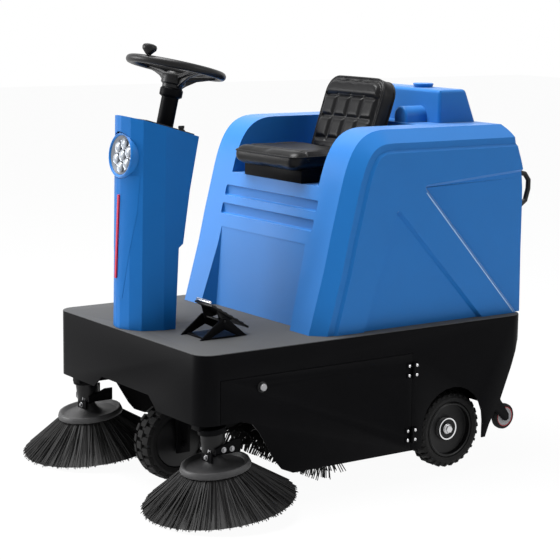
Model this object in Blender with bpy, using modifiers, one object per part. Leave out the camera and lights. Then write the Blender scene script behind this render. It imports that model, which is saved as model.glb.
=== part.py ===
"""Ride-on sweeper: a three-wheeled machine with two side brushes, a main broom and a pull-out dust bin.

Units are metres, with +Z up, -Y forward and +X on the driver's left. A station is a distance behind
the front face of the chassis. The origin is on the floor, under the centre of the whole machine.
"""

import math

import bmesh
import bpy
from mathutils import Matrix, Vector

# Clearances
GAP = 0.0003  # between pieces that rest on each other
PIN_PLAY = 0.0008  # radial, round a turning pin or shaft
PANEL_GAP = 0.002  # round a door

# Chassis and its sheet-metal body
CHASSIS_LENGTH = 1.328
CHASSIS_WIDTH = 0.914
DECK_TOP = 0.5185
MAT_THICKNESS = 0.003
SHEET = 0.004
BODY_CORNER_RADIUS = 0.055
SKIRT_BOTTOM = 0.297
BODY_BOTTOM = 0.105
TAIL_TOP = 0.444  # top of the slanted tail edge
TAIL_EDGE = ((0.168, 0.105), (0.151, 0.148), (0.104, 0.226), (0.063, 0.327), (0.025, 0.425),
             (0.005, TAIL_TOP))  # (distance ahead of the rear face, height)
FRONT_NOTCH = {"bottom_half": 0.200, "top_half": 0.150, "top": 0.339}
ARCH = {"station": CHASSIS_LENGTH - 0.318, "height": 0.165, "radius": 0.134}

# Side doors
DOOR = {"front": 0.070, "rear": 0.828, "top": 0.4366}
HINGE = {"heights": (0.159, 0.379), "height": 0.052, "leaf": 0.024, "leaf_thickness": 0.0025,
         "knuckle_radius": 0.0055, "pin_radius": 0.0022, "stand_off": 0.0075}
LOCK = {"station": 0.224, "height": 0.399, "radius": 0.0125, "depth": 0.013, "shank": 0.006,
        "cam_length": 0.022, "cam_width": 0.012}

# Welded frame
RAIL = {"inner": 0.270, "outer": 0.310, "depth": 0.040, "front": 0.020,
        "rear": CHASSIS_LENGTH - 0.028}
PLATE = 0.008  # thickness of brackets and lugs
BAR = 0.030  # width of a cross member
OUTRIGGER_STATION = 0.300
POST_STATION = 0.834
TAIL_BAR_STATION = CHASSIS_LENGTH - 0.058

# Wheels
WHEEL_RADIUS = 0.133
WHEEL_BEAD_RADIUS = 0.096
REAR_WHEEL = {"station": CHASSIS_LENGTH - 0.277, "outer": 0.404, "width": 0.078,
              "hub_depth": 0.034, "hub_radius": 0.0395, "shaft": 0.0125}
FRONT_WHEEL = {"station": 0.186, "width": 0.090, "bead": 0.085, "axle": 0.010}
FORK = {"leg_inner": 0.056, "leg": 0.010, "leg_half": 0.025, "crown": 0.285, "crown_thickness": 0.015,
        "stem": 0.020, "shoulder": 0.030, "top": 0.455}
HEAD = {"bottom": 0.330, "plate": 0.385, "plate_thickness": 0.012, "radius": 0.035, "half": 0.085}

# Side brushes
BRUSH = {"x": 0.397, "station": 0.110, "radius": 0.250, "root_radius": 0.104, "tilt": math.radians(7.5),
         "root": 0.114, "thickness": 0.030, "tip": 0.010, "clear": 0.001}
DISC = {"radius": 0.112, "bottom": 0.1145, "rim_top": 0.134, "hub_radius": 0.030, "hub_top": 0.156}
BRUSH_MOTOR = {"radius": 0.038, "height": 0.075}
ARM = {"pivot_station": 0.300, "pivot_height": 0.330, "inner": 0.357, "outer": 0.403, "pin": 0.006,
       "lug": 0.340, "flange": 0.018, "flange_radius": 0.045, "front": 0.030}

# Main broom
BROOM = {"station": 0.600, "radius": 0.139, "core": 0.050, "half": 0.305, "clear": 0.001}
BROOM_ARM = {"station": 0.800, "height": 0.400, "tube": 0.015, "lug": 0.190, "inner": 0.315,
             "shaft": 0.010, "half_depth": 0.018, "motor_radius": 0.045, "motor_length": 0.060}

# Dust bin
BIN = {"half": 0.285, "front": 0.870, "top": 0.420, "flange": 0.0095, "wall": 0.004,
       "panel_half": 0.440, "panel_bottom": 0.205}
RUNNER = {"inner": 0.2865, "height": 0.008, "front": 0.900, "rear": CHASSIS_LENGTH - 0.063}
CASTER = {"x": 0.340, "station": CHASSIS_LENGTH + 0.020, "height": 0.128, "radius": 0.046,
          "width": 0.026, "axle": 0.005}
BIN_HANDLE = {"half": 0.140, "height": 0.350, "stand_off": 0.040, "radius": 0.009}

# Steering
COLUMN_X = -0.058
LEAN = math.radians(13.0)
WHEEL_CENTRE = {"station": 0.229, "height": 1.3545}
STEERING = {"rim_radius": 0.1515, "rim_tube": 0.0135, "hub_radius": 0.052, "hub_drop": 0.066,
            "spoke_width": 0.034, "spoke_thickness": 0.009, "shaft": 0.0125}
KNOB = {"angle": math.radians(-70.0), "radius": 0.024, "stem": 0.008, "height": 0.034}
TUBE = {"radius": 0.028, "collar_radius": 0.0375, "collar": 0.032, "length": 0.350}
LOWER_SHAFT = {"station": 0.090, "radius": 0.008, "ball": 0.020, "cup_wall": 0.006}
SPROCKET = {"small": 0.018, "large": 0.054, "height": 0.440, "thickness": 0.006}
CHAIN_THICKNESS = 0.005

# Steering column cover. Each section is (height, station of its rear face)
COLUMN = {"apex_half": 0.012, "bow_half": 0.050, "front_half": 0.088, "side_half": 0.113, "wall": 0.004}
COLUMN_FRONT = {"bottom": 0.009, "top": 0.018}
COLUMN_BOW = 0.013
COLUMN_SAGITTA = 0.038
COLUMN_CHAMFER = 0.106
COLUMN_REAR = ((0.0, 0.160), (0.265, 0.172), (0.277, 0.188), (0.450, 0.213), (0.640, 0.247))
COLUMN_HEIGHT = 0.689
COLUMN_SLOPE = math.radians(16.5)
DASH = {"front": 0.068, "rear": 0.236, "half": 0.100, "front_half": 0.080, "thickness": 0.004}
KEY = {"x": 0.066, "station": 0.205, "radius": 0.011, "height": 0.014, "blade": 0.018}
BUTTON = {"x": -0.062, "station": 0.205, "radius": 0.010, "height": 0.008, "sunk": 0.001}
HEADLIGHT = {"station": 0.020, "height": 1.081, "radius": 0.0745, "inner": 0.0640, "seat": 0.0600,
             "depth": 0.052, "tilt": math.radians(5.8)}
STRIP = {"bottom": 0.682, "top": 0.954, "width": 0.009, "proud": 0.003}

# Hood, whose outline is (station, height) from the front foot round to the rear foot
HOOD = {"half": 0.420, "wall": 0.006, "front_round": 0.055, "rear_round": 0.018}
HOOD_OUTLINE = ((0.463, 0.5188), (0.520, 0.725), (0.546, 0.840), (0.584, 0.990), (0.607, 1.052),
                (0.627, 1.100), (0.655, 1.139), (0.704, 1.162), (0.757, 1.1675),
                (CHASSIS_LENGTH - 0.066, 1.1675), (CHASSIS_LENGTH - 0.043, 1.140),
                (CHASSIS_LENGTH - 0.030, 1.090), (CHASSIS_LENGTH - 0.008, 1.030),
                (CHASSIS_LENGTH + 0.007, 0.950), (CHASSIS_LENGTH + 0.010, 0.735),
                (CHASSIS_LENGTH + 0.015, 0.5188))
WELL = {"half": 0.255, "floor": 0.980, "rear": 0.990}
RECESS = {"half": 0.242, "foot": 0.502, "top_station": 0.566, "top": 0.930}
HOOD_HINGE = {"x": 0.240, "station": CHASSIS_LENGTH + 0.022, "height": 0.505, "pin": 0.004,
              "lug": 0.008, "half": 0.010}

# Seat
SEAT_PAN = {"half": 0.165, "front": 0.575, "rear": 0.820, "tail": 0.930}
CUSHION = {"half": 0.190, "front": 0.528, "rear": 0.820, "bottom": 1.028, "top": 1.080, "round": 0.016}
SEAT_BACK = {"half": 0.175, "station": 0.828, "bottom": 1.036, "length": 0.315, "thickness": 0.085,
             "lean": math.radians(19.0), "round": 0.025}

# Rear housing, its cap and the grab handle
HOUSING = {"half": 0.250, "front": CHASSIS_LENGTH - 0.238, "rear_foot": CHASSIS_LENGTH - 0.072,
           "rear_top": CHASSIS_LENGTH - 0.120, "top": 1.280, "wall": 0.004, "round": 0.012}
CAP = {"x": 0.090, "station": CHASSIS_LENGTH - 0.178, "radius": 0.036, "height": 0.014}
GRAB = {"x": 0.385, "top": 1.000, "bottom": 0.884, "reach": CHASSIS_LENGTH + 0.058, "radius": 0.009}

# What the hood covers
BATTERY = {"front": 0.600, "rear": 0.980, "half": 0.260, "top": 0.740, "tray": 0.006, "gap": 0.012}
FILTER = {"front": CHASSIS_LENGTH - 0.268, "rear": CHASSIS_LENGTH - 0.078, "half": 0.190,
          "bottom": 0.430, "flange": 0.012, "lip": 0.020}
FAN = {"radius": 0.085, "height": 0.100, "motor_radius": 0.050, "motor_height": 0.060}
FILTER_OPENING_PLAY = 0.008

# Drive pedal
PEDAL = {"inner": 0.150, "outer": 0.250, "rear": 0.315, "rear_height": 0.545, "front": 0.175,
         "front_height": 0.628, "thickness": 0.006, "pivot_station": 0.215, "pivot_height": 0.572,
         "rod": 0.004}
PEDAL_BRACKET = {"front": 0.125, "rear": 0.300, "cheek": 0.006, "play": 0.004, "base": 0.005}

# Colour, roughness and metallic value of each finish
FINISHES = {
    "blue_shell": ((0.030, 0.145, 0.480), 0.38, 0.0),
    "black_coat": ((0.010, 0.010, 0.011), 0.45, 0.0),
    "grey_mat": ((0.150, 0.150, 0.155), 0.85, 0.0),
    "bare_steel": ((0.450, 0.450, 0.460), 0.35, 0.9),
    "black_steel": ((0.014, 0.014, 0.015), 0.50, 0.3),
    "tyre_rubber": ((0.012, 0.012, 0.012), 0.80, 0.0),
    "bristle": ((0.012, 0.012, 0.012), 0.75, 0.0),
    "disc_plastic": ((0.060, 0.060, 0.062), 0.50, 0.0),
    "black_plastic": ((0.012, 0.012, 0.012), 0.40, 0.0),
    "black_vinyl": ((0.010, 0.010, 0.010), 0.28, 0.0),
    "clear_lens": ((0.850, 0.860, 0.870), 0.08, 0.0),
    "red_lens": ((0.600, 0.010, 0.030), 0.25, 0.0),
    "grey_plastic": ((0.250, 0.250, 0.260), 0.50, 0.0),
}

# Places worked out from the sizes above
BRUSH_REACH = BRUSH["radius"] * math.cos(BRUSH["tilt"]) + BRUSH["tip"] * math.sin(BRUSH["tilt"])
BRUSH_FRONT = BRUSH_REACH - BRUSH["station"]
TAIL_REACH = max(CASTER["station"] + CASTER["radius"], GRAB["reach"] + GRAB["radius"])
CHASSIS_FRONT = (BRUSH_FRONT - TAIL_REACH) / 2
PLATE_TOP = DECK_TOP - MAT_THICKNESS
FRAME_TOP = PLATE_TOP - SHEET - GAP
RAIL_BOTTOM = FRAME_TOP - RAIL["depth"]
HALF_WIDTH = CHASSIS_WIDTH / 2
LEAN_AXIS = Vector((0, math.sin(LEAN), math.cos(LEAN)))
COLUMN_TOP = DECK_TOP + GAP + COLUMN_HEIGHT


def at(x, station, height):
    """The point at this side offset, station and height."""
    return Vector((x, CHASSIS_FRONT + station, height))


# Collections, materials and mesh helpers


def clear_scene():
    for old in list(bpy.data.objects):
        bpy.data.objects.remove(old, do_unlink=True)


def new_collection(name):
    collection = bpy.data.collections.new(name)
    bpy.context.scene.collection.children.link(collection)
    return collection


def add_object(name, data):
    obj = bpy.data.objects.new(name, data)
    bpy.context.scene.collection.objects.link(obj)
    return obj


def mesh_object(name, bm):
    bmesh.ops.recalc_face_normals(bm, faces=bm.faces)
    mesh = bpy.data.meshes.new(name)
    bm.to_mesh(mesh)
    bm.free()
    return add_object(name, mesh)


def move_to(obj, collection):
    for holder in list(obj.users_collection):
        holder.objects.unlink(obj)
    collection.objects.link(obj)


def keep(obj, finish):
    """Puts a finished sub-part in the machine's collection, with a material of its own."""
    colour, roughness, metallic = FINISHES[finish]
    material = bpy.data.materials.new(obj.name + "_" + finish)
    material.use_nodes = True
    shader = material.node_tree.nodes["Principled BSDF"]
    shader.inputs["Base Color"].default_value = (*colour, 1.0)
    shader.inputs["Roughness"].default_value = roughness
    shader.inputs["Metallic"].default_value = metallic
    obj.data.materials.clear()
    obj.data.materials.append(material)
    move_to(obj, SWEEPER)
    return obj


def pivot(obj, point):
    """Moves the object's origin to its joint's axis, with its shape left where it is."""
    shift = obj.matrix_world.inverted() @ point
    obj.data.transform(Matrix.Translation(-shift))
    obj.location = point
    return obj


def box(name, low, high):
    size = high - low
    bm = bmesh.new()
    place = Matrix.Translation((low + high) / 2) @ Matrix.Diagonal((*size, 1.0))
    bmesh.ops.create_cube(bm, size=1.0, matrix=place)
    return mesh_object(name, bm)


def rod(name, start, end, radius, sides=16):
    """A cylinder between two points."""
    axis = end - start
    turn = axis.to_track_quat("Z", "Y").to_matrix().to_4x4()
    bm = bmesh.new()
    bmesh.ops.create_cone(bm, cap_ends=True, segments=sides, radius1=radius, radius2=radius,
                          depth=axis.length, matrix=Matrix.Translation((start + end) / 2) @ turn)
    return mesh_object(name, bm)


def turned(name, profile, origin, axis, sides=24, ring=False):
    """Turns (radius, height) points round an axis, down the outer side. A ring closes on itself."""
    count = len(profile)
    edges = [(index, index + 1) for index in range(count - 1)]
    if ring:
        edges.append((count - 1, 0))
    mesh = bpy.data.meshes.new(name)
    mesh.from_pydata([(radius, 0, height) for radius, height in profile], edges, [])
    obj = add_object(name, mesh)
    obj.location = origin
    obj.rotation_mode = "QUATERNION"
    obj.rotation_quaternion = Vector(axis).to_track_quat("Z", "Y")
    screw = obj.modifiers.new("Turn", "SCREW")
    screw.steps = sides
    screw.render_steps = sides
    screw.use_merge_vertices = True
    screw.merge_threshold = 0.00001
    bpy.context.view_layer.update()
    return obj


def as_mesh(obj):
    """Replaces the object with a mesh of what its modifiers or its curve settings make."""
    bpy.context.view_layer.update()
    graph = bpy.context.evaluated_depsgraph_get()
    mesh = bpy.data.meshes.new_from_object(obj.evaluated_get(graph))
    bm = bmesh.new()
    bm.from_mesh(mesh)
    bmesh.ops.remove_doubles(bm, verts=bm.verts, dist=0.000001)
    bm.to_mesh(mesh)
    bm.free()
    name = obj.name
    place = obj.matrix_world.copy()
    bpy.data.objects.remove(obj, do_unlink=True)
    solid = add_object(name, mesh)
    solid.matrix_world = place
    bpy.context.view_layer.update()
    return solid


PLANES = {
    "YZ": Matrix(((0, 0, 1, 0), (1, 0, 0, 0), (0, 1, 0, 0), (0, 0, 0, 1))),
    "XY": Matrix.Identity(4),
    "XZ": Matrix(((1, 0, 0, 0), (0, 0, -1, 0), (0, 1, 0, 0), (0, 0, 0, 1))),
}


def slab(name, outlines, plane, low, high):
    """Flat outlines in the YZ, XY or XZ plane, given thickness from low to high. Inner outlines are holes."""
    curve = bpy.data.curves.new(name, "CURVE")
    curve.dimensions = "2D"
    curve.fill_mode = "BOTH"
    curve.extrude = (high - low) / 2
    for outline in outlines:
        spline = curve.splines.new("POLY")
        spline.points.add(len(outline) - 1)
        for point, (across, up) in zip(spline.points, outline):
            point.co = (across, up, 0, 1)
        spline.use_cyclic_u = True
    obj = add_object(name, curve)
    middle = (low + high) / 2
    lift = Matrix.Translation((0, 0, -middle if plane == "XZ" else middle))
    obj.matrix_world = PLANES[plane] @ lift
    solid = as_mesh(obj)
    solid.data.transform(solid.matrix_world)
    solid.matrix_world = Matrix.Identity(4)
    bm = bmesh.new()
    bm.from_mesh(solid.data)
    bmesh.ops.dissolve_limit(bm, angle_limit=0.001, verts=bm.verts, edges=bm.edges)
    bmesh.ops.recalc_face_normals(bm, faces=bm.faces)
    bm.to_mesh(solid.data)
    bm.free()
    return solid


def pipe(name, points, radius, sides_resolution=2):
    """A round bar along straight stretches between points, with closed ends."""
    curve = bpy.data.curves.new(name, "CURVE")
    curve.dimensions = "3D"
    curve.bevel_depth = radius
    curve.bevel_resolution = sides_resolution
    curve.use_fill_caps = True
    spline = curve.splines.new("POLY")
    spline.points.add(len(points) - 1)
    for point, place in zip(spline.points, points):
        point.co = (*place, 1)
    return as_mesh(add_object(name, curve))


def combine(obj, other, operation):
    """Cuts the other shape from the object, or joins it on."""
    modifier = obj.modifiers.new(other.name, "BOOLEAN")
    modifier.operation = operation
    modifier.object = other
    move_to(other, CUTTERS)
    other.hide_render = True
    other.display_type = "WIRE"
    return obj


def join(obj, *others):
    for other in others:
        combine(obj, other, "UNION")
    return obj


def cut(obj, *others):
    for other in others:
        combine(obj, other, "DIFFERENCE")
    return obj


def bevel_edges(obj, width, segments, wanted):
    """Rounds the edges whose two end points the test accepts."""
    bm = bmesh.new()
    bm.from_mesh(obj.data)
    edges = [edge for edge in bm.edges if wanted(edge.verts[0].co, edge.verts[1].co)]
    bmesh.ops.bevel(bm, geom=edges, offset=width, segments=segments, profile=0.5, affect="EDGES",
                    clamp_overlap=True)
    bmesh.ops.remove_doubles(bm, verts=bm.verts, dist=0.00005)
    bmesh.ops.dissolve_degenerate(bm, edges=bm.edges, dist=0.00001)
    bmesh.ops.triangulate(bm, faces=bm.faces)
    bm.to_mesh(obj.data)
    bm.free()
    return obj


def round_all(obj, width, segments=2):
    bevel = obj.modifiers.new("Round", "BEVEL")
    bevel.width = width
    bevel.segments = segments
    bevel.limit_method = "ANGLE"
    bevel.angle_limit = math.radians(30)
    return obj


def smooth(obj):
    obj.data.shade_smooth()
    obj.data.set_sharp_from_angle(angle=math.radians(35))
    return obj


def arc(centre, radius, start, end, steps):
    """Points along an arc, with its angles in degrees and both ends included."""
    angles = [math.radians(start + (end - start) * step / steps) for step in range(steps + 1)]
    return [(centre[0] + radius * math.cos(a), centre[1] + radius * math.sin(a)) for a in angles]


def rounded_plan(half, front, rear, radius, steps=5):
    """A rectangle in plan with round corners, from a front station to a rear one."""
    near = CHASSIS_FRONT + front + radius
    far = CHASSIS_FRONT + rear - radius
    side = half - radius
    corners = ((side, far, 0), (-side, far, 90), (-side, near, 180), (side, near, 270))
    return [point for x, y, start in corners for point in arc((x, y), radius, start, start + 90, steps)]


def stations(outline):
    """An outline of (station, height) points, as (y, z)."""
    return [(CHASSIS_FRONT + station, height) for station, height in outline]


def inset(outline, distance):
    """Moves each side of a counter-clockwise or clockwise outline inwards by the distance."""
    count = len(outline)
    area = sum(outline[i][0] * outline[(i + 1) % count][1] - outline[(i + 1) % count][0] * outline[i][1]
               for i in range(count))
    sign = 1 if area > 0 else -1
    moved = []
    for index in range(count):
        before = Vector(outline[index]) - Vector(outline[index - 1])
        after = Vector(outline[(index + 1) % count]) - Vector(outline[index])
        normals = [sign * Vector((-side.y, side.x)).normalized() for side in (before, after)]
        middle = (normals[0] + normals[1]).normalized()
        moved.append(tuple(Vector(outline[index]) + middle * (distance / middle.dot(normals[0]))))
    return moved


def sides():
    """The two sides of the machine, as a name and a sign for X."""
    return (("left", 1), ("right", -1))


def span(sign, inner, outer):
    """Low and high X of a stretch that starts inner and ends outer on one side."""
    return tuple(sorted((sign * inner, sign * outer)))


# Sheet-metal body


def tail_outline():
    """The slanted tail edge of the side panels, from the bottom up."""
    return tuple((CHASSIS_LENGTH - ahead, height) for ahead, height in TAIL_EDGE)


def tail_station(height):
    """Station of the slanted tail edge at this height."""
    edge = tail_outline()
    for (station_a, low), (station_b, high) in zip(edge, edge[1:]):
        if height <= high:
            return station_a + (station_b - station_a) * (height - low) / (high - low)
    return edge[-1][0]


def filter_opening(name, low, high):
    play = FILTER_OPENING_PLAY
    return box(name, at(-FILTER["half"] - play, FILTER["front"] - play, low),
               at(FILTER["half"] + play, FILTER["rear"] + play, high))


def shaft_hole(name):
    return rod(name, at(COLUMN_X, LOWER_SHAFT["station"], PLATE_TOP - 0.02),
               at(COLUMN_X, LOWER_SHAFT["station"], DECK_TOP + 0.02), LOWER_SHAFT["ball"])


def body_shell():
    over = 0.02
    plan = rounded_plan(HALF_WIDTH, 0, CHASSIS_LENGTH, BODY_CORNER_RADIUS)
    inner_plan = rounded_plan(HALF_WIDTH - SHEET, SHEET, CHASSIS_LENGTH - SHEET, BODY_CORNER_RADIUS - SHEET)
    shell = slab("body_shell", [plan], "XY", BODY_BOTTOM, PLATE_TOP)
    hollow = slab("body_hollow", [inner_plan], "XY", BODY_BOTTOM - over, PLATE_TOP - SHEET)
    doorway = box("doorway", at(-HALF_WIDTH - over, DOOR["front"], BODY_BOTTOM - over),
                  at(HALF_WIDTH + over, DOOR["rear"], DOOR["top"]))
    below_skirt = box("below_skirt", at(-HALF_WIDTH - over, -over, BODY_BOTTOM - over),
                      at(HALF_WIDTH + over, DOOR["front"] + over, SKIRT_BOTTOM))
    notch = slab("front_notch", [[(-FRONT_NOTCH["bottom_half"], SKIRT_BOTTOM - over),
                                  (FRONT_NOTCH["bottom_half"], SKIRT_BOTTOM - over),
                                  (FRONT_NOTCH["bottom_half"], SKIRT_BOTTOM),
                                  (FRONT_NOTCH["top_half"], FRONT_NOTCH["top"]),
                                  (-FRONT_NOTCH["top_half"], FRONT_NOTCH["top"]),
                                  (-FRONT_NOTCH["bottom_half"], SKIRT_BOTTOM)]],
                 "XZ", CHASSIS_FRONT - over, CHASSIS_FRONT + over)
    arch = [(ARCH["station"] + ARCH["radius"], BODY_BOTTOM - over)]
    arch += arc((ARCH["station"], ARCH["height"]), ARCH["radius"], 0, 180, 12)
    arch.append((ARCH["station"] - ARCH["radius"], BODY_BOTTOM - over))
    wheel_arch = slab("wheel_arch", [stations(arch)], "YZ", -HALF_WIDTH - over, HALF_WIDTH + over)
    tail = [(tail_outline()[0][0], BODY_BOTTOM - over), *tail_outline(),
            (CHASSIS_LENGTH + over, TAIL_TOP), (CHASSIS_LENGTH + over, BODY_BOTTOM - over)]
    tail_cut = slab("tail_cut", [stations(tail)], "YZ", -HALF_WIDTH - over, HALF_WIDTH + over)
    cut(shell, hollow, doorway, below_skirt, notch, wheel_arch, tail_cut,
        filter_opening("deck_opening", PLATE_TOP - over, PLATE_TOP + over), shaft_hole("deck_hole"))
    for side, sign in sides():
        low, high = span(sign, HOOD_HINGE["x"] - PLATE, HOOD_HINGE["x"])
        bracket = box(side + "_hood_bracket",
                      at(low, CHASSIS_LENGTH - SHEET / 2, HOOD_HINGE["height"] - HOOD_HINGE["half"]),
                      at(high, HOOD_HINGE["station"] + HOOD_HINGE["half"] / 2,
                         HOOD_HINGE["height"] + HOOD_HINGE["half"]))
        pin = rod(side + "_hood_pin",
                  at(sign * (HOOD_HINGE["x"] - PLATE / 2), HOOD_HINGE["station"], HOOD_HINGE["height"]),
                  at(sign * (HOOD_HINGE["x"] + 2 * PLATE), HOOD_HINGE["station"], HOOD_HINGE["height"]),
                  HOOD_HINGE["pin"], 12)
        join(shell, bracket, pin)
    return keep(smooth(shell), "black_coat")


def deck_mat():
    edge = 0.001
    plan = rounded_plan(HALF_WIDTH - edge, edge, CHASSIS_LENGTH - edge, BODY_CORNER_RADIUS - edge)
    mat = slab("deck_mat", [plan], "XY", PLATE_TOP + GAP, DECK_TOP)
    cut(mat, filter_opening("mat_opening", PLATE_TOP - MAT_THICKNESS, DECK_TOP + MAT_THICKNESS),
        shaft_hole("mat_hole"))
    return keep(mat, "grey_mat")


# Side doors with their hinges and locks


def hinge_axis(sign, height):
    return at(sign * (HALF_WIDTH + HINGE["stand_off"]), DOOR["rear"] + PANEL_GAP / 2, height)


def leaf(name, sign, station_a, station_b, low, high):
    x_low, x_high = span(sign, HALF_WIDTH + GAP, HALF_WIDTH + GAP + HINGE["leaf_thickness"])
    return box(name, at(x_low, station_a, low), at(x_high, station_b, high))


def door(side, sign):
    bottom = BODY_BOTTOM
    front = DOOR["front"] + PANEL_GAP
    rear = DOOR["rear"] - PANEL_GAP / 2
    top = DOOR["top"] - PANEL_GAP
    outline = [(front, SKIRT_BOTTOM), (0.154, SKIRT_BOTTOM), (0.190, 0.284), (0.214, 0.258), (0.281, 0.151),
               (0.305, 0.123), (0.348, bottom), (rear, bottom), (rear, top), (front, top)]
    low, high = span(sign, HALF_WIDTH - SHEET, HALF_WIDTH)
    panel = slab(side + "_door", [stations(outline)], "YZ", low, high)
    hole = rod(side + "_lock_hole", at(low - 0.01, LOCK["station"], LOCK["height"]),
               at(high + 0.01, LOCK["station"], LOCK["height"]), LOCK["shank"] + PIN_PLAY, 12)
    cut(panel, hole)
    third = HINGE["height"] / 3
    edge = rear - HINGE["knuckle_radius"] / 2
    for number, middle in enumerate(HINGE["heights"]):
        for word, shift in (("low", -third), ("high", third)):
            base = middle + shift
            tag = f"{side}_knuckle_{number}_{word}"
            plate_low, plate_high = span(sign, HALF_WIDTH - SHEET / 2, HALF_WIDTH + HINGE["leaf_thickness"])
            plate = box(tag + "_leaf", at(plate_low, rear - HINGE["leaf"], base - third / 2 + GAP),
                        at(plate_high, edge, base + third / 2 - GAP))
            arm_low, arm_high = span(sign, HALF_WIDTH + GAP, HALF_WIDTH + HINGE["leaf_thickness"] - GAP)
            web = box(tag + "_web", at(arm_low, edge - HINGE["knuckle_radius"], base - third / 2 + GAP),
                      at(arm_high, DOOR["rear"] + PANEL_GAP / 2, base + third / 2 - GAP))
            knuckle = rod(tag, hinge_axis(sign, base - third / 2 + GAP),
                          hinge_axis(sign, base + third / 2 - GAP),
                          HINGE["knuckle_radius"], 12)
            join(panel, plate, web, knuckle)
        bore = rod(f"{side}_pin_bore_{number}", hinge_axis(sign, middle - HINGE["height"]),
                   hinge_axis(sign, middle + HINGE["height"]), HINGE["pin_radius"] + PIN_PLAY, 12)
        cut(panel, bore)
    pivot(panel, hinge_axis(sign, 0))
    return keep(panel, "black_coat")


def door_hinge(side, sign, word, middle):
    """The fixed half of a hinge: leaf, middle knuckle and pin."""
    third = HINGE["height"] / 3
    seam = DOOR["rear"] + PANEL_GAP / 2
    plate = leaf(f"{side}_{word}_hinge", sign, seam + HINGE["knuckle_radius"] * 0.7, seam + HINGE["leaf"],
                 middle - HINGE["height"] / 2, middle + HINGE["height"] / 2)
    web = leaf(f"{side}_{word}_web", sign, seam, seam + HINGE["knuckle_radius"],
               middle - third / 2 + GAP, middle + third / 2 - GAP)
    knuckle = rod(f"{side}_{word}_fixed_knuckle", hinge_axis(sign, middle - third / 2 + GAP),
                  hinge_axis(sign, middle + third / 2 - GAP), HINGE["knuckle_radius"], 12)
    pin = rod(f"{side}_{word}_pin", hinge_axis(sign, middle - HINGE["height"] / 2),
              hinge_axis(sign, middle + HINGE["height"] / 2), HINGE["pin_radius"], 12)
    join(plate, web, knuckle, pin)
    return keep(plate, "black_steel")


def door_lock(side, sign):
    """A quarter-turn lock: knob outside, shank through the door and a short cam inside."""
    origin = at(sign * HALF_WIDTH, LOCK["station"], LOCK["height"])
    depth = LOCK["depth"]
    inside = -SHEET - GAP
    profile = [(0, depth), (LOCK["radius"] * 0.8, depth), (LOCK["radius"], depth * 0.8),
               (LOCK["radius"], GAP), (LOCK["shank"], GAP), (LOCK["shank"], inside - SHEET),
               (0, inside - SHEET)]
    lock = as_mesh(turned(side + "_door_lock", profile, origin, (sign, 0, 0), 16))
    low, high = span(sign, HALF_WIDTH + inside - SHEET, HALF_WIDTH + inside)
    cam = box(side + "_lock_cam", at(low, LOCK["station"] - LOCK["cam_width"] / 2, LOCK["height"]),
              at(high, LOCK["station"] + LOCK["cam_width"] / 2, LOCK["height"] + LOCK["cam_length"]))
    join(lock, cam)
    return keep(lock, "bare_steel")


# Welded frame


def frame_bar(name, half, station, width=BAR):
    return box(name, at(-half, station, RAIL_BOTTOM), at(half, station + width, FRAME_TOP))


def chassis_frame():
    low, high = span(1, RAIL["inner"], RAIL["outer"])
    frame = box("chassis_frame", at(low, RAIL["front"], RAIL_BOTTOM), at(high, RAIL["rear"], FRAME_TOP))
    low, high = span(-1, RAIL["inner"], RAIL["outer"])
    rail = box("right_rail", at(low, RAIL["front"], RAIL_BOTTOM), at(high, RAIL["rear"], FRAME_TOP))
    bars = [frame_bar("nose_bar", RAIL["outer"] - 0.001, RAIL["front"] + 0.001),
            frame_bar("outrigger", ARM["outer"] + 0.017, OUTRIGGER_STATION),
            frame_bar("post_bar", HALF_WIDTH - SHEET - GAP, POST_STATION),
            frame_bar("tail_bar", RAIL["outer"] - 0.001, TAIL_BAR_STATION - 0.001)]
    join(frame, rail, *bars)
    join(frame, head_plate(), *head_gussets())
    for side, sign in sides():
        join(frame, *frame_brackets(side, sign))
    bore_top = at(0, FRONT_WHEEL["station"], HEAD["plate"] + 0.05)
    bore_bottom = at(0, FRONT_WHEEL["station"], HEAD["bottom"] - 0.01)
    cut(frame, rod("stem_bore", bore_bottom, bore_top, FORK["stem"] + PIN_PLAY, 24))
    for side, sign in sides():
        pivot_point = at(sign * ARM["lug"], ARM["pivot_station"], ARM["pivot_height"])
        reach = Vector((PLATE * 3, 0, 0))
        cut(frame, rod(side + "_arm_bore", pivot_point - reach, pivot_point + reach,
                       ARM["pin"] + PIN_PLAY, 12))
        pivot_point = at(sign * BROOM_ARM["lug"], BROOM_ARM["station"], BROOM_ARM["height"])
        cut(frame, rod(side + "_broom_bore", pivot_point - reach, pivot_point + reach,
                       BROOM_ARM["tube"] + PIN_PLAY, 16))
    return keep(frame, "black_steel")


def head_plate():
    """The plate and boss that carry the front fork's stem."""
    station = FRONT_WHEEL["station"]
    plate = box("head_plate", at(-RAIL["outer"] + 0.002, station - HEAD["half"], HEAD["plate"]),
                at(RAIL["outer"] - 0.002, station + HEAD["half"], HEAD["plate"] + HEAD["plate_thickness"]))
    boss = rod("head_boss", at(0, station, HEAD["bottom"]), at(0, station, HEAD["plate"] + SHEET),
               HEAD["radius"], 20)
    return join(plate, boss)


def head_gussets():
    station = FRONT_WHEEL["station"]
    gussets = []
    for side, sign in sides():
        low, high = span(sign, RAIL["outer"] - 2 * PLATE, RAIL["outer"] - PLATE)
        gussets.append(box(side + "_gusset", at(low, station - HEAD["half"] + 0.002, HEAD["plate"] + SHEET),
                           at(high, station + HEAD["half"] - 0.002, RAIL_BOTTOM + SHEET)))
    return gussets


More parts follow.
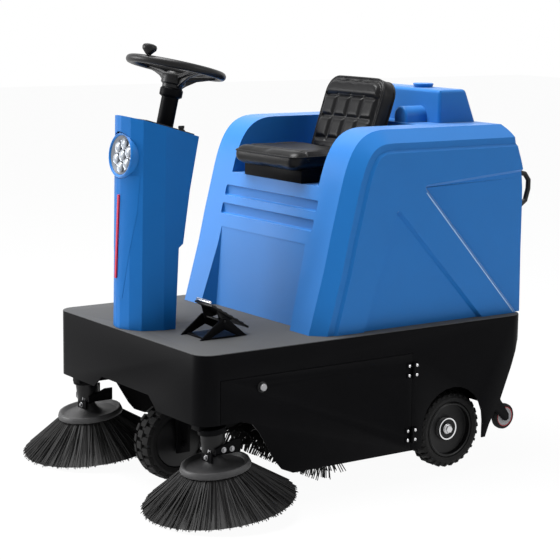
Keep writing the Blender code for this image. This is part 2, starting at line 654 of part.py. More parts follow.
def frame_brackets(side, sign):
    """What hangs from the rails on one side: the rear axle plate, bin runner, arm lugs and hinge post."""
    reach = 0.040
    low, high = span(sign, RUNNER["inner"] + 0.0095, RUNNER["inner"] + 0.0095 + PLATE)
    axle_plate = box(side + "_axle_plate", at(low, REAR_WHEEL["station"] - reach, BODY_BOTTOM),
                     at(high, REAR_WHEEL["station"] + reach, RAIL_BOTTOM + SHEET))
    low, high = span(sign, RUNNER["inner"], RUNNER["inner"] + 0.010)
    runner_top = BIN["top"] - BIN["wall"] - GAP
    runner = box(side + "_runner", at(low, RUNNER["front"], runner_top - RUNNER["height"]),
                 at(high, RUNNER["rear"], runner_top))
    low, high = span(sign, ARM["lug"], ARM["lug"] + PLATE)
    arm_lug = box(side + "_arm_lug", at(low, ARM["pivot_station"] - 0.015, ARM["pivot_height"] - 0.020),
                  at(high, OUTRIGGER_STATION + BAR - 0.001, RAIL_BOTTOM + SHEET))
    low, high = span(sign, BROOM_ARM["lug"], BROOM_ARM["lug"] + PLATE)
    broom_lug = box(side + "_broom_lug", at(low, BROOM_ARM["station"] - 0.022, BROOM_ARM["height"] - 0.022),
                    at(high, POST_STATION + BAR - 0.001, RAIL_BOTTOM + SHEET))
    low, high = span(sign, HALF_WIDTH - SHEET - GAP - 0.015, HALF_WIDTH - SHEET - GAP)
    post = box(side + "_hinge_post", at(low, POST_STATION + 0.001, BODY_BOTTOM + 0.015),
               at(high, POST_STATION + BAR - 0.001, RAIL_BOTTOM + SHEET))
    return axle_plate, runner, arm_lug, broom_lug, post


# Wheels


def tyre_profile(radius, bead, width):
    """A tyre's cross-section: rounded tread, side walls and bead seat, down the outer side first."""
    half = width / 2
    wall = radius - bead
    return [(bead, half * 0.80), (bead + wall * 0.35, half * 0.98), (bead + wall * 0.65, half),
            (radius - 0.008, half * 0.90), (radius, half * 0.62), (radius, -half * 0.62),
            (radius - 0.008, -half * 0.90), (bead + wall * 0.65, -half), (bead + wall * 0.35, -half * 0.98),
            (bead, -half * 0.80)]


def rear_wheel(side, sign):
    middle = REAR_WHEEL["outer"] - REAR_WHEEL["width"] / 2
    centre = at(sign * middle, REAR_WHEEL["station"], WHEEL_RADIUS)
    tyre = turned(side + "_rear_tyre", tyre_profile(WHEEL_RADIUS, WHEEL_BEAD_RADIUS, REAR_WHEEL["width"]),
                  centre, (sign, 0, 0), 28, ring=True)
    keep(smooth(tyre), "tyre_rubber")
    half = REAR_WHEEL["width"] / 2
    outer = WHEEL_BEAD_RADIUS - GAP
    bore = REAR_WHEEL["shaft"] + PIN_PLAY
    face = half - REAR_WHEEL["hub_depth"]
    hub = REAR_WHEEL["hub_radius"]
    profile = [(bore, face + 0.006), (hub, face + 0.006), (hub, face), (outer * 0.90, face + 0.010),
               (outer - 0.006, half * 0.80), (outer, half * 0.80), (outer, -half * 0.80),
               (outer - 0.006, -half * 0.80), (outer * 0.90, face - 0.006), (hub, face - 0.012),
               (hub, -half * 0.60), (bore, -half * 0.60)]
    rim = turned(side + "_rear_rim", profile, centre, (sign, 0, 0), 28, ring=True)
    keep(smooth(rim), "black_plastic")
    return tyre, rim


def rear_axle(side, sign):
    """A stub axle: a flange on the frame's plate, a shaft through the wheel and a nut."""
    face = RUNNER["inner"] + 0.0095 + PLATE + GAP
    middle = REAR_WHEEL["outer"] - REAR_WHEEL["width"] / 2
    hub_face = middle + REAR_WHEEL["width"] / 2 - REAR_WHEEL["hub_depth"] + 0.006
    shaft = REAR_WHEEL["shaft"]
    length = hub_face - face + 0.014
    profile = [(0, length), (shaft * 1.3, length), (shaft * 1.3, length - 0.0135), (shaft, length - 0.0135),
               (shaft, 0.006), (0.032, 0.006), (0.032, 0), (0, 0)]
    axle = turned(side + "_rear_axle", profile, at(sign * face, REAR_WHEEL["station"], WHEEL_RADIUS),
                  (sign, 0, 0), 20)
    return keep(smooth(axle), "bare_steel")


def front_wheel():
    centre = at(0, FRONT_WHEEL["station"], WHEEL_RADIUS)
    tyre = turned("front_tyre", tyre_profile(WHEEL_RADIUS, FRONT_WHEEL["bead"], FRONT_WHEEL["width"]),
                  centre, (1, 0, 0), 28, ring=True)
    keep(smooth(tyre), "tyre_rubber")
    half = FRONT_WHEEL["width"] / 2
    outer = FRONT_WHEEL["bead"] - GAP
    bore = FRONT_WHEEL["axle"] + PIN_PLAY
    profile = [(bore, half + 0.006), (0.030, half + 0.006), (0.060, half - 0.004), (outer, half * 0.80),
               (outer, -half * 0.80), (0.060, -half + 0.004), (0.030, -half - 0.006), (bore, -half - 0.006)]
    motor = turned("front_hub_motor", profile, centre, (1, 0, 0), 28, ring=True)
    keep(smooth(motor), "black_plastic")


def steering_fork():
    station = FRONT_WHEEL["station"]
    crown = FORK["crown"]
    top = crown + FORK["crown_thickness"]
    stem, shoulder = FORK["stem"], FORK["shoulder"]
    sprocket = SPROCKET["large"]
    low, high = SPROCKET["height"], SPROCKET["height"] + SPROCKET["thickness"]
    outer = FORK["leg_inner"] + FORK["leg"]
    fork = box("steering_fork", at(-outer, station - FORK["leg_half"] - 0.010, crown),
               at(outer, station + FORK["leg_half"] + 0.010, top))
    profile = [(0, FORK["top"]), (stem, FORK["top"]), (stem, high), (sprocket, high), (sprocket, low),
               (stem, low), (stem, HEAD["bottom"] - GAP), (shoulder, HEAD["bottom"] - GAP),
               (shoulder, top - 0.004), (0, top - 0.004)]
    join(fork, turned("fork_stem", profile, at(0, station, 0), (0, 0, 1), 24))
    for side, sign in sides():
        low, high = span(sign, FORK["leg_inner"], outer)
        join(fork, box(side + "_fork_leg", at(low, station - FORK["leg_half"], WHEEL_RADIUS - 0.030),
                       at(high, station + FORK["leg_half"], crown + 0.003)))
    join(fork, rod("front_axle", at(-outer - 0.008, station, WHEEL_RADIUS),
                   at(outer + 0.008, station, WHEEL_RADIUS), FRONT_WHEEL["axle"], 16))
    pivot(fork, at(0, station, 0))
    return keep(fork, "black_steel")


# Side brushes


def brush_axis():
    return Vector((0, -math.sin(BRUSH["tilt"]), math.cos(BRUSH["tilt"])))


def brush_foot(sign):
    """Centre of the ring that the bristle tips make."""
    return at(sign * BRUSH["x"], BRUSH["station"],
              BRUSH["radius"] * math.sin(BRUSH["tilt"]) + BRUSH["clear"])


def side_brush(side, sign):
    foot = brush_foot(sign)
    axis = brush_axis()
    root, radius, top = BRUSH["root_radius"], BRUSH["radius"], BRUSH["root"]
    profile = [(root, top), (radius, BRUSH["tip"]), (radius, 0), (radius - BRUSH["thickness"], 0),
               (root - BRUSH["thickness"], top)]
    bristles = turned(side + "_brush_bristles", profile, foot, axis, 32, ring=True)
    keep(smooth(bristles), "bristle")
    low = DISC["bottom"]
    hub = DISC["hub_radius"]
    profile = [(0, DISC["hub_top"]), (hub * 0.6, DISC["hub_top"]), (hub, low + 0.024),
               (hub * 1.6, low + 0.012),
               (DISC["radius"] * 0.82, low + 0.008), (DISC["radius"] * 0.90, DISC["rim_top"]),
               (DISC["radius"] * 0.96, DISC["rim_top"]), (DISC["radius"], low + 0.008),
               (DISC["radius"], low),
               (0, low)]
    disc = turned(side + "_brush_disc", profile, foot, axis, 24)
    keep(smooth(disc), "disc_plastic")


def brush_motor(side, sign):
    axis = brush_axis()
    base = brush_foot(sign) + axis * (DISC["hub_top"] + GAP)
    radius, height = BRUSH_MOTOR["radius"], BRUSH_MOTOR["height"]
    profile = [(0, height), (radius, height), (radius, 0.016), (radius * 0.7, 0.006), (0.014, 0.006),
               (0.014, 0), (0, 0)]
    motor = turned(side + "_brush_motor", profile, base, axis, 24)
    return keep(smooth(motor), "black_steel")


def brush_arm(side, sign):
    """The arm that lifts a side brush: pivot pin, beam and motor flange."""
    axis = brush_axis()
    seat = brush_foot(sign) + axis * (DISC["hub_top"] + 2 * GAP + BRUSH_MOTOR["height"])
    station, height = ARM["pivot_station"], ARM["pivot_height"]
    clear = seat.z + ARM["flange_radius"] * math.sin(BRUSH["tilt"]) + 0.001
    outline = [(ARM["front"], clear), (0.150, clear), (station - 0.020, height - 0.014),
               (station + 0.012, height - 0.014), (station + 0.012, height + 0.014),
               (station - 0.012, height + 0.014), (ARM["front"], clear + 0.026)]
    low, high = span(sign, ARM["inner"], ARM["outer"])
    arm = slab(side + "_brush_arm", [stations(outline)], "YZ", low, high)
    flange = rod(side + "_arm_flange", seat, seat + axis * ARM["flange"], ARM["flange_radius"], 24)
    pin = rod(side + "_arm_pin", at(sign * (ARM["lug"] - 0.006), station, height),
              at(sign * (ARM["inner"] + 0.005), station, height), ARM["pin"], 12)
    join(arm, flange, pin)
    pivot(arm, at(sign * ARM["inner"], station, height))
    return keep(arm, "black_steel")


# Main broom


def broom_centre():
    return at(0, BROOM["station"], BROOM["radius"] + BROOM["clear"])


def main_broom():
    half, core = BROOM["half"], BROOM["core"]
    bore = BROOM_ARM["shaft"] + PIN_PLAY
    roller = turned("main_broom_core", [(bore, half + 0.004), (core, half + 0.004), (core, -half - 0.004),
                                        (bore, -half - 0.004)], broom_centre(), (1, 0, 0), 24, ring=True)
    keep(smooth(roller), "black_plastic")
    bristles = turned("main_broom_bristles", [(core + GAP, half), (BROOM["radius"], half),
                                              (BROOM["radius"], -half), (core + GAP, -half)],
                      broom_centre(), (1, 0, 0), 24, ring=True)
    keep(smooth(bristles), "bristle")


def broom_arm():
    """The swinging carrier: cross tube, two side arms, the broom's shaft and its drive motor."""
    centre = broom_centre()
    station, height = BROOM_ARM["station"], BROOM_ARM["height"]
    outer = BROOM_ARM["inner"] + PLATE
    tube = rod("main_broom_arm", at(-outer + 0.001, station, height), at(outer - 0.001, station, height),
               BROOM_ARM["tube"], 16)
    half = BROOM_ARM["half_depth"]
    outline = [(station - half, height - half), (station + half, height - half),
               (station + half, height + half),
               (station - half, height + half), (BROOM["station"] - half, centre.z + half),
               (BROOM["station"] - half, centre.z - half), (BROOM["station"] + half, centre.z - half)]
    for side, sign in sides():
        low, high = span(sign, BROOM_ARM["inner"], outer)
        join(tube, slab(side + "_broom_side", [stations(outline)], "YZ", low, high))
    shaft_reach = Vector((outer - 0.002, 0, 0))
    join(tube, rod("broom_shaft", centre - shaft_reach, centre + shaft_reach, BROOM_ARM["shaft"], 16))
    motor_start = centre - Vector((outer - 0.003, 0, 0))
    join(tube, rod("broom_motor", motor_start, motor_start - Vector((BROOM_ARM["motor_length"], 0, 0)),
                   BROOM_ARM["motor_radius"], 20))
    pivot(tube, at(0, station, height))
    return keep(tube, "black_steel")


# Dust bin and its casters


def bin_tail(top, bottom):
    """Tail edge points between two heights, from the bottom up."""
    middle = [point for point in tail_outline() if bottom < point[1] < top]
    return [(tail_station(bottom), bottom), *middle, (tail_station(top), top)]


def dust_bin():
    top, bottom, wall, half = BIN["top"], BODY_BOTTOM, BIN["wall"], BIN["half"]
    tail = bin_tail(top, bottom)
    skin = [(station - PANEL_GAP / 2, height) for station, height in tail]
    outline = [(BIN["front"], top), (BIN["front"], bottom), *skin]
    bin_body = slab("dust_bin", [stations(outline)], "YZ", -half, half)
    inner_tail = [(station - wall, height) for station, height in bin_tail(top, bottom + wall)]
    hollow = [(BIN["front"] + wall, top + 0.05), (BIN["front"] + wall, bottom + wall), *inner_tail,
              (tail[-1][0] - wall, top + 0.05)]
    cut(bin_body, slab("bin_hollow", [stations(hollow)], "YZ", -half + wall, half - wall))
    edge = bin_tail(top - GAP, BIN["panel_bottom"])
    panel = edge + [(station - wall * 0.7, height) for station, height in reversed(edge)]
    for side, sign in sides():
        low, high = span(sign, half - wall / 2, BIN["panel_half"])
        join(bin_body, slab(side + "_tail_panel", [stations(panel)], "YZ", low, high))
        low, high = span(sign, half - wall / 2, half + BIN["flange"])
        join(bin_body, box(side + "_bin_flange", at(low, BIN["front"] + 0.001, top - wall),
                           at(high, RUNNER["rear"], top - 2 * GAP)))
        join(bin_body, *caster_fork(side, sign))
    join(bin_body, bin_handle())
    return keep(bin_body, "black_coat")


def caster_fork(side, sign):
    """Two cheeks from the tail panel down to a caster, with the axle between them."""
    station, height = CASTER["station"], CASTER["height"]
    high_seat, low_seat = 0.290, 0.225
    outline = [(tail_station(low_seat) - 0.002, low_seat), (station - 0.012, height - 0.010),
               (station, height - 0.014), (station + 0.012, height - 0.008),
               (station + 0.012, height + 0.010),
               (tail_station(high_seat) - 0.002, high_seat)]
    cheeks = []
    for word, shift in (("inner", -1), ("outer", 1)):
        near = CASTER["x"] + shift * (CASTER["width"] / 2 + 0.003)
        low, high = span(sign, near, near + shift * 0.004)
        cheeks.append(slab(f"{side}_{word}_cheek", [stations(outline)], "YZ", low, high))
    reach = CASTER["width"] / 2 + 0.006
    axle = rod(side + "_caster_axle", at(sign * (CASTER["x"] - reach), station, height),
               at(sign * (CASTER["x"] + reach), station, height), CASTER["axle"], 12)
    return (*cheeks, axle)


def bin_handle():
    height, half, off = BIN_HANDLE["height"], BIN_HANDLE["half"], BIN_HANDLE["stand_off"]
    face = tail_station(height)
    route = [(-half, face - 0.002), (-half, face + off * 0.7), (-half + off * 0.3, face + off),
             (half - off * 0.3, face + off), (half, face + off * 0.7), (half, face - 0.002)]
    return pipe("bin_handle", [at(x, station, height) for x, station in route], BIN_HANDLE["radius"])


def caster_wheel(side, sign):
    half, radius = CASTER["width"] / 2, CASTER["radius"]
    bore = CASTER["axle"] + PIN_PLAY
    profile = [(bore, half), (radius * 0.45, half), (radius * 0.70, half * 0.8),
               (radius - 0.003, half * 0.8),
               (radius, half * 0.5), (radius, -half * 0.5), (radius - 0.003, -half * 0.8),
               (radius * 0.70, -half * 0.8), (radius * 0.45, -half), (bore, -half)]
    wheel = turned(side + "_caster_wheel", profile,
                   at(sign * CASTER["x"], CASTER["station"], CASTER["height"]),
                   (sign, 0, 0), 24, ring=True)
    return keep(smooth(wheel), "grey_plastic")


# Steering


def wheel_centre():
    return at(COLUMN_X, WHEEL_CENTRE["station"], WHEEL_CENTRE["height"])


def joint_drop():
    """Distance down the leaning axis from the steering wheel to the ball of the lower joint."""
    return (WHEEL_CENTRE["station"] - LOWER_SHAFT["station"]) / math.sin(LEAN)


def steering_wheel():
    centre = wheel_centre()
    rim_radius, tube = STEERING["rim_radius"], STEERING["rim_tube"]
    bpy.ops.mesh.primitive_torus_add(major_radius=rim_radius, minor_radius=tube, major_segments=28,
                                     minor_segments=8, location=centre, rotation=(-LEAN, 0, 0))
    rim = bpy.context.object
    rim.name = "steering_wheel"
    hub, drop = STEERING["hub_radius"], STEERING["hub_drop"]
    profile = [(0, -0.014), (hub * 0.85, -0.016), (hub, -0.022), (hub, -0.032), (hub * 0.86, -0.037),
               (hub * 0.83, -drop + 0.014), (hub * 0.70, -drop + 0.004), (hub * 0.66, -drop), (0, -drop)]
    join(rim, turned("steering_hub", profile, centre, LEAN_AXIS, 24))
    lean_turn = Matrix.Rotation(-LEAN, 4, "X")
    slope = math.atan2(0.036, rim_radius - hub * 0.7)
    length = (rim_radius - hub * 0.5) / math.cos(slope)
    for name, angle in (("left", 0), ("driver", 90), ("right", 180)):
        half = STEERING["spoke_width"] / 2
        thick = STEERING["spoke_thickness"] / 2
        spoke = box(name + "_spoke", Vector((-length + 0.006, -half, -thick)), Vector((0, half, thick)))
        spoke.matrix_world = (Matrix.Translation(centre) @ lean_turn
                              @ Matrix.Rotation(math.radians(angle), 4, "Z")
                              @ Matrix.Translation((rim_radius, 0, 0)) @ Matrix.Rotation(-slope, 4, "Y"))
        join(rim, spoke)
    return keep(smooth(rim), "black_plastic")


def steering_shaft():
    centre = wheel_centre()
    shaft, ball = STEERING["shaft"], LOWER_SHAFT["ball"]
    end = -joint_drop()
    neck = math.degrees(math.asin(shaft / ball))
    ball_side = [(ball * math.cos(math.radians(a)), end + ball * math.sin(math.radians(a)))
                 for a in (90 - neck, 45, 22, 0, -22, -45, -68)]
    profile = [(0, -STEERING["hub_drop"] - GAP), (shaft, -STEERING["hub_drop"] - GAP), *ball_side,
               (0, end - ball)]
    return keep(smooth(turned("steering_shaft", profile, centre, LEAN_AXIS, 24)), "bare_steel")


def steering_tube():
    """The fixed tube round the shaft, with its collar under the steering wheel."""
    bore = STEERING["shaft"] + 0.001
    top = -STEERING["hub_drop"] - 0.0008
    collar_end = top - TUBE["collar"]
    profile = [(bore, top), (TUBE["collar_radius"] - 0.004, top), (TUBE["collar_radius"], top - 0.005),
               (TUBE["collar_radius"], collar_end + 0.006), (TUBE["radius"], collar_end),
               (TUBE["radius"], top - TUBE["length"]), (bore, top - TUBE["length"])]
    tube = turned("steering_tube", profile, wheel_centre(), LEAN_AXIS, 24, ring=True)
    return keep(smooth(tube), "black_steel")


def steering_knob():
    angle, rim = KNOB["angle"], STEERING["rim_radius"]
    spot = Vector((rim * math.cos(angle), rim * math.sin(angle), STEERING["rim_tube"] + GAP))
    base = wheel_centre() + Matrix.Rotation(-LEAN, 3, "X") @ spot
    radius, height = KNOB["radius"], KNOB["height"]
    centre_height = height - radius * 0.75
    ball = [(radius * math.cos(math.radians(a)), centre_height + radius * 0.75 * math.sin(math.radians(a)))
            for a in (60, 30, 0, -30, -55)]
    profile = [(0, height), *ball, (KNOB["stem"], 0.004), (KNOB["stem"] * 1.4, 0), (0, 0)]
    return keep(smooth(turned("steering_knob", profile, base, LEAN_AXIS, 20)), "black_plastic")


def lower_shaft():
    """The upright shaft: a cup round the upper shaft's ball, and the small sprocket."""
    axis_foot = at(COLUMN_X, LOWER_SHAFT["station"], 0)
    ball_height = wheel_centre().z - joint_drop() * math.cos(LEAN)
    ball = LOWER_SHAFT["ball"] + PIN_PLAY
    cavity = [(ball * math.sin(math.radians(a)), ball_height - ball * math.cos(math.radians(a)))
              for a in (0, 25, 50, 70, 90)]
    outer = ball + LOWER_SHAFT["cup_wall"]
    radius, sprocket = LOWER_SHAFT["radius"], SPROCKET["small"]
    low, high = SPROCKET["height"], SPROCKET["height"] + SPROCKET["thickness"]
    foot = HEAD["plate"] + HEAD["plate_thickness"] + GAP
    profile = [*cavity, (outer, ball_height), (outer, ball_height - ball),
               (radius, ball_height - outer - 0.012),
               (radius, high), (sprocket, high), (sprocket, low), (radius, low), (radius, foot), (0, foot)]
    return keep(smooth(turned("lower_steering_shaft", profile, axis_foot, (0, 0, 1), 24)), "bare_steel")


def loop_outline(small, large, offset, steps=16):
    """The outline of a chain round two sprockets, each given as (centre, radius), set off from both."""
    (centre_a, radius_a), (centre_b, radius_b) = small, large
    gap = Vector(centre_b) - Vector(centre_a)
    heading = math.degrees(math.atan2(gap.y, gap.x))
    spread = math.degrees(math.acos((radius_a - radius_b) / gap.length))
    first = arc(centre_a, radius_a + offset, heading + spread, heading + 360 - spread, steps)
    return first + arc(centre_b, radius_b + offset, heading - spread, heading + spread, 2 * steps)


def steering_chain():
    small = (at(COLUMN_X, LOWER_SHAFT["station"], 0).xy[:], SPROCKET["small"])
    large = (at(0, FRONT_WHEEL["station"], 0).xy[:], SPROCKET["large"])
    slack = PIN_PLAY
    outlines = [loop_outline(small, large, slack + CHAIN_THICKNESS), loop_outline(small, large, slack)]
    chain = slab("steering_chain", outlines, "XY", SPROCKET["height"],
                 SPROCKET["height"] + SPROCKET["thickness"])
    return keep(chain, "bare_steel")


# Steering column cover and what it carries


def column_front(height):
    """Station of the cover's front at this height above the deck."""
    share = height / COLUMN_HEIGHT
    return COLUMN_FRONT["bottom"] + (COLUMN_FRONT["top"] - COLUMN_FRONT["bottom"]) * share


def column_section(front, rear):
    """One half of the cover's plan, from the front's middle round to the rear, as (side offset, station)."""
    return [(COLUMN["apex_half"], front), (COLUMN["bow_half"], front + COLUMN_BOW),
            (COLUMN["front_half"], front + COLUMN_SAGITTA), (COLUMN["side_half"], front + COLUMN_CHAMFER),
            (COLUMN["side_half"], rear)]


def column_top(station):
    """Height of the cover's sloping top at this station."""
    return COLUMN_TOP - math.tan(COLUMN_SLOPE) * (station - COLUMN_FRONT["top"])


def column_cover():
    """The cover's skin, lofted from plan sections, open at the bottom and given its wall."""
    bm = bmesh.new()
    rings = []
    for level, (height, rear) in enumerate(COLUMN_REAR):
        half = column_section(column_front(height), rear)
        plan = half + [(-x, station) for x, station in reversed(half)]
        last = level == len(COLUMN_REAR) - 1
        rings.append([bm.verts.new(at(COLUMN_X + x, station, column_top(station) if last
                                      else DECK_TOP + GAP + height)) for x, station in plan])
    for lower, upper in zip(rings, rings[1:]):
        for index in range(len(lower)):
            following = (index + 1) % len(lower)
            bm.faces.new((lower[index], lower[following], upper[following], upper[index]))
    bm.faces.new(rings[-1])
    cover = mesh_object("column_cover", bm)
    wall = cover.modifiers.new("Wall", "SOLIDIFY")
    wall.thickness = COLUMN["wall"]
    wall.offset = -1
    wall.use_even_offset = True
    centre = wheel_centre()
    tube_hole = rod("tube_hole", centre, centre - LEAN_AXIS * TUBE["length"], TUBE["radius"] + PIN_PLAY, 24)
    light_hole = rod("light_hole", headlight_centre() + headlight_axis() * 0.05,
                     headlight_centre() - headlight_axis() * HEADLIGHT["depth"],
                     HEADLIGHT["radius"] + GAP * 2, 28)
    cut(cover, tube_hole, light_hole)
    return keep(cover, "blue_shell")


def slope_place(x, station, lift):
    """A spot above the cover's top, and the direction that the top faces."""
    up = Vector((0, math.sin(COLUMN_SLOPE), math.cos(COLUMN_SLOPE)))
    return at(COLUMN_X + x, station, column_top(station)) + up * lift, up


def dash_panel():
    middle = (DASH["front"] + DASH["rear"]) / 2
    reach = (DASH["rear"] - DASH["front"]) / 2 / math.cos(COLUMN_SLOPE)
    half, front_half = DASH["half"], DASH["front_half"]
    outline = [(-front_half, -reach), (front_half, -reach), (half, -reach * 0.35), (half, reach),
               (-half, reach), (-half, -reach * 0.35)]
    panel = slab("dash_panel", [outline], "XY", GAP, GAP + DASH["thickness"])
    spot, up = slope_place(0, middle, 0)
    panel.matrix_world = Matrix.Translation(spot) @ Matrix.Rotation(-COLUMN_SLOPE, 4, "X")
    bpy.context.view_layer.update()
    centre = wheel_centre()
    cut(panel, rod("dash_tube_hole", centre, centre - LEAN_AXIS * TUBE["length"],
                   TUBE["radius"] + PIN_PLAY, 24))
    start, up = slope_place(BUTTON["x"], BUTTON["station"], -0.02)
    cut(panel, rod("dash_button_hole", start, start + up * 0.05, BUTTON["radius"] + PIN_PLAY, 16))
    return keep(panel, "black_plastic")


def key_switch():
    spot, up = slope_place(KEY["x"], KEY["station"], DASH["thickness"] + 2 * GAP)
    height, radius = KEY["height"], KEY["radius"]
    barrel = as_mesh(turned("key_switch", [(0, height), (radius * 0.8, height), (radius, height * 0.7),
                                           (radius, 0),
                                           (0, 0)], spot, up, 16))
    blade = box("key_blade", Vector((-0.001, -0.006, height - 0.004)),
                Vector((0.001, 0.006, height + KEY["blade"])))
    blade.matrix_world = Matrix.Translation(spot) @ Matrix.Rotation(-COLUMN_SLOPE, 4, "X")
    return keep(join(barrel, blade), "black_plastic")


def horn_button():
    spot, up = slope_place(BUTTON["x"], BUTTON["station"], GAP + DASH["thickness"] - BUTTON["sunk"])
    height, radius = BUTTON["height"], BUTTON["radius"]
    profile = [(0, height), (radius * 0.8, height), (radius, height * 0.75), (radius, 0), (0, 0)]
    return keep(smooth(turned("horn_button", profile, spot, up, 16)), "red_lens")


def headlight_axis():
    return Vector((0, -math.cos(HEADLIGHT["tilt"]), math.sin(HEADLIGHT["tilt"])))


def headlight_centre():
    return at(COLUMN_X, HEADLIGHT["station"], HEADLIGHT["height"])


def headlight():
    radius, inner, seat, depth = (HEADLIGHT[name] for name in ("radius", "inner", "seat", "depth"))
    profile = [(inner, -0.002), (inner + 0.004, 0.002), (radius - 0.004, 0.002), (radius, -0.003),
               (radius, -depth + 0.002), (seat, -depth + 0.002), (seat, -0.030)]
    bezel = turned("headlight_bezel", profile, headlight_centre(), headlight_axis(), 28, ring=True)
    keep(smooth(bezel), "blue_shell")
    lens_edge = seat - 2 * GAP
    profile = [(0, -0.026), (lens_edge * 0.5, -0.028), (lens_edge, -0.034), (lens_edge, -depth + 0.006),
               (0, -depth + 0.006)]
    lens = turned("headlight_lens", profile, headlight_centre(), headlight_axis(), 28)
    return keep(smooth(lens), "clear_lens")


def light_strip():
    """The red strip down the middle of the cover's front, which it follows."""
    outline = []
    for height, out in ((STRIP["bottom"], 0), (STRIP["top"], 0), (STRIP["top"], 1), (STRIP["bottom"], 1)):
        face = column_front(height - DECK_TOP - GAP) - GAP
        outline.append((face - out * STRIP["proud"], height))
    half = STRIP["width"] / 2
    strip = slab("light_strip", [stations(outline)], "YZ", COLUMN_X - half, COLUMN_X + half)
    return keep(strip, "red_lens")


# Hood and what it carries


def hood_solid(name, depth):
    """The hood as a solid, with every face moved inwards by the depth."""
    outline = inset(HOOD_OUTLINE, depth)
    if depth:
        outline[0] = (outline[0][0], outline[0][1] - 0.03)
        outline[-1] = (outline[-1][0], outline[-1][1] - 0.03)
    half = HOOD["half"] - depth
    solid = slab(name, [stations(outline)], "YZ", -half, half)
    foot = outline[0][1] + 0.0001
    rear = CHASSIS_FRONT + HOUSING["rear_foot"]

    def on_side(a, b):
        return abs(abs(a.x) - half) < 0.0001 and abs(a.x - b.x) < 0.0001 and (a.z > foot or b.z > foot)

    bevel_edges(solid, HOOD["front_round"] - depth, 3,
                lambda a, b: on_side(a, b) and min(a.y, b.y) < rear)
    bevel_edges(solid, HOOD["rear_round"] - depth, 2,
                lambda a, b: on_side(a, b) and min(a.y, b.y) > rear - 0.001)
    well = box(name + "_well", at(-WELL["half"] - depth, 0.3, WELL["floor"] - depth),
               at(WELL["half"] + depth, WELL["rear"] + depth, 1.4))
    foot_height = HOOD_OUTLINE[0][1] - 0.1
    lean = (RECESS["top_station"] - RECESS["foot"]) / (RECESS["top"] - HOOD_OUTLINE[0][1])
    wedge = [(0.3, foot_height), (RECESS["foot"] + depth - 0.1 * lean, foot_height),
             (RECESS["top_station"] + depth + 0.1 * lean, RECESS["top"] + 0.1), (0.3, RECESS["top"] + 0.1)]
    recess = slab(name + "_recess", [stations(wedge)], "YZ", -RECESS["half"] - depth,
                  RECESS["half"] + depth)
    return cut(solid, well, recess)


def hood():
    shell = hood_solid("hood", 0)
    cut(shell, as_mesh(hood_solid("hood_inside", HOOD["wall"])))
    for side, sign in sides():
        low, high = span(sign, HOOD_HINGE["x"] + 0.001, HOOD_HINGE["x"] + 0.001 + HOOD_HINGE["lug"])
        foot = HOOD_OUTLINE[-1]
        half = HOOD_HINGE["half"]
        lug = box(side + "_hood_lug", at(low, foot[0] - 0.003, HOOD_HINGE["height"] - half * 0.7),
                  at(high, HOOD_HINGE["station"] + half * 0.8, foot[1] + 0.040))
        join(shell, lug)
        centre = at(sign * HOOD_HINGE["x"], HOOD_HINGE["station"], HOOD_HINGE["height"])
        reach = Vector((0.03, 0, 0))
        cut(shell, rod(side + "_lug_bore", centre - reach, centre + reach, HOOD_HINGE["pin"] + PIN_PLAY,
                       12))
    pivot(shell, at(0, HOOD_HINGE["station"], HOOD_HINGE["height"]))
    return keep(shell, "blue_shell")


def seat_back_corner():
    """Station and height of the seat back's lower rear edge."""
    lean, thickness = SEAT_BACK["lean"], SEAT_BACK["thickness"]
    return (SEAT_BACK["station"] + thickness * math.cos(lean),
            SEAT_BACK["bottom"] - thickness * math.sin(lean))


def seat():
    half = SEAT_PAN["half"]
    pan = box("seat_pan", at(-half, SEAT_PAN["front"], WELL["floor"] + GAP),
              at(half, SEAT_PAN["rear"], CUSHION["bottom"] - GAP))
    tail = box("seat_pan_tail", at(-half + 0.002, SEAT_PAN["rear"] - 0.002, WELL["floor"] + GAP),
               at(half - 0.002, SEAT_PAN["tail"], seat_back_corner()[1] - GAP))
    keep(join(pan, tail), "black_plastic")
    cushion = box("seat_cushion", at(-CUSHION["half"], CUSHION["front"], CUSHION["bottom"]),
                  at(CUSHION["half"], CUSHION["rear"], CUSHION["top"]))
    keep(smooth(round_all(cushion, CUSHION["round"])), "black_vinyl")
    back = box("seat_back", Vector((-SEAT_BACK["half"], 0, 0)),
               Vector((SEAT_BACK["half"], SEAT_BACK["thickness"], SEAT_BACK["length"])))
    bevel_edges(back, SEAT_BACK["round"], 3,
                lambda a, b: min(a.z, b.z) > SEAT_BACK["round"] or abs(a.z - b.z) > 0.1)
    back.matrix_world = (Matrix.Translation(at(0, SEAT_BACK["station"], SEAT_BACK["bottom"]))
                         @ Matrix.Rotation(-SEAT_BACK["lean"], 4, "X"))
    keep(smooth(back), "black_vinyl")


def rear_housing():
    foot = HOOD_OUTLINE[8][1] + GAP
    outline = [(HOUSING["front"], foot), (HOUSING["rear_foot"], foot),
               (HOUSING["rear_top"], HOUSING["top"]),
               (HOUSING["front"] + 0.004, HOUSING["top"])]
    wall = HOUSING["wall"]
    housing = slab("rear_housing", [stations(outline)], "YZ", -HOUSING["half"], HOUSING["half"])
    bevel_edges(housing, HOUSING["round"], 2, lambda a, b: max(a.z, b.z) > foot + 0.01)
    inner = inset(outline, wall)
    inner[0] = (inner[0][0], foot - 0.02)
    inner[1] = (inner[1][0], foot - 0.02)
    hollow = slab("housing_hollow", [stations(inner)], "YZ", -HOUSING["half"] + wall,
                  HOUSING["half"] - wall)
    bevel_edges(hollow, HOUSING["round"] - wall, 2, lambda a, b: max(a.z, b.z) > foot + 0.01)
    return keep(smooth(cut(housing, hollow)), "blue_shell")


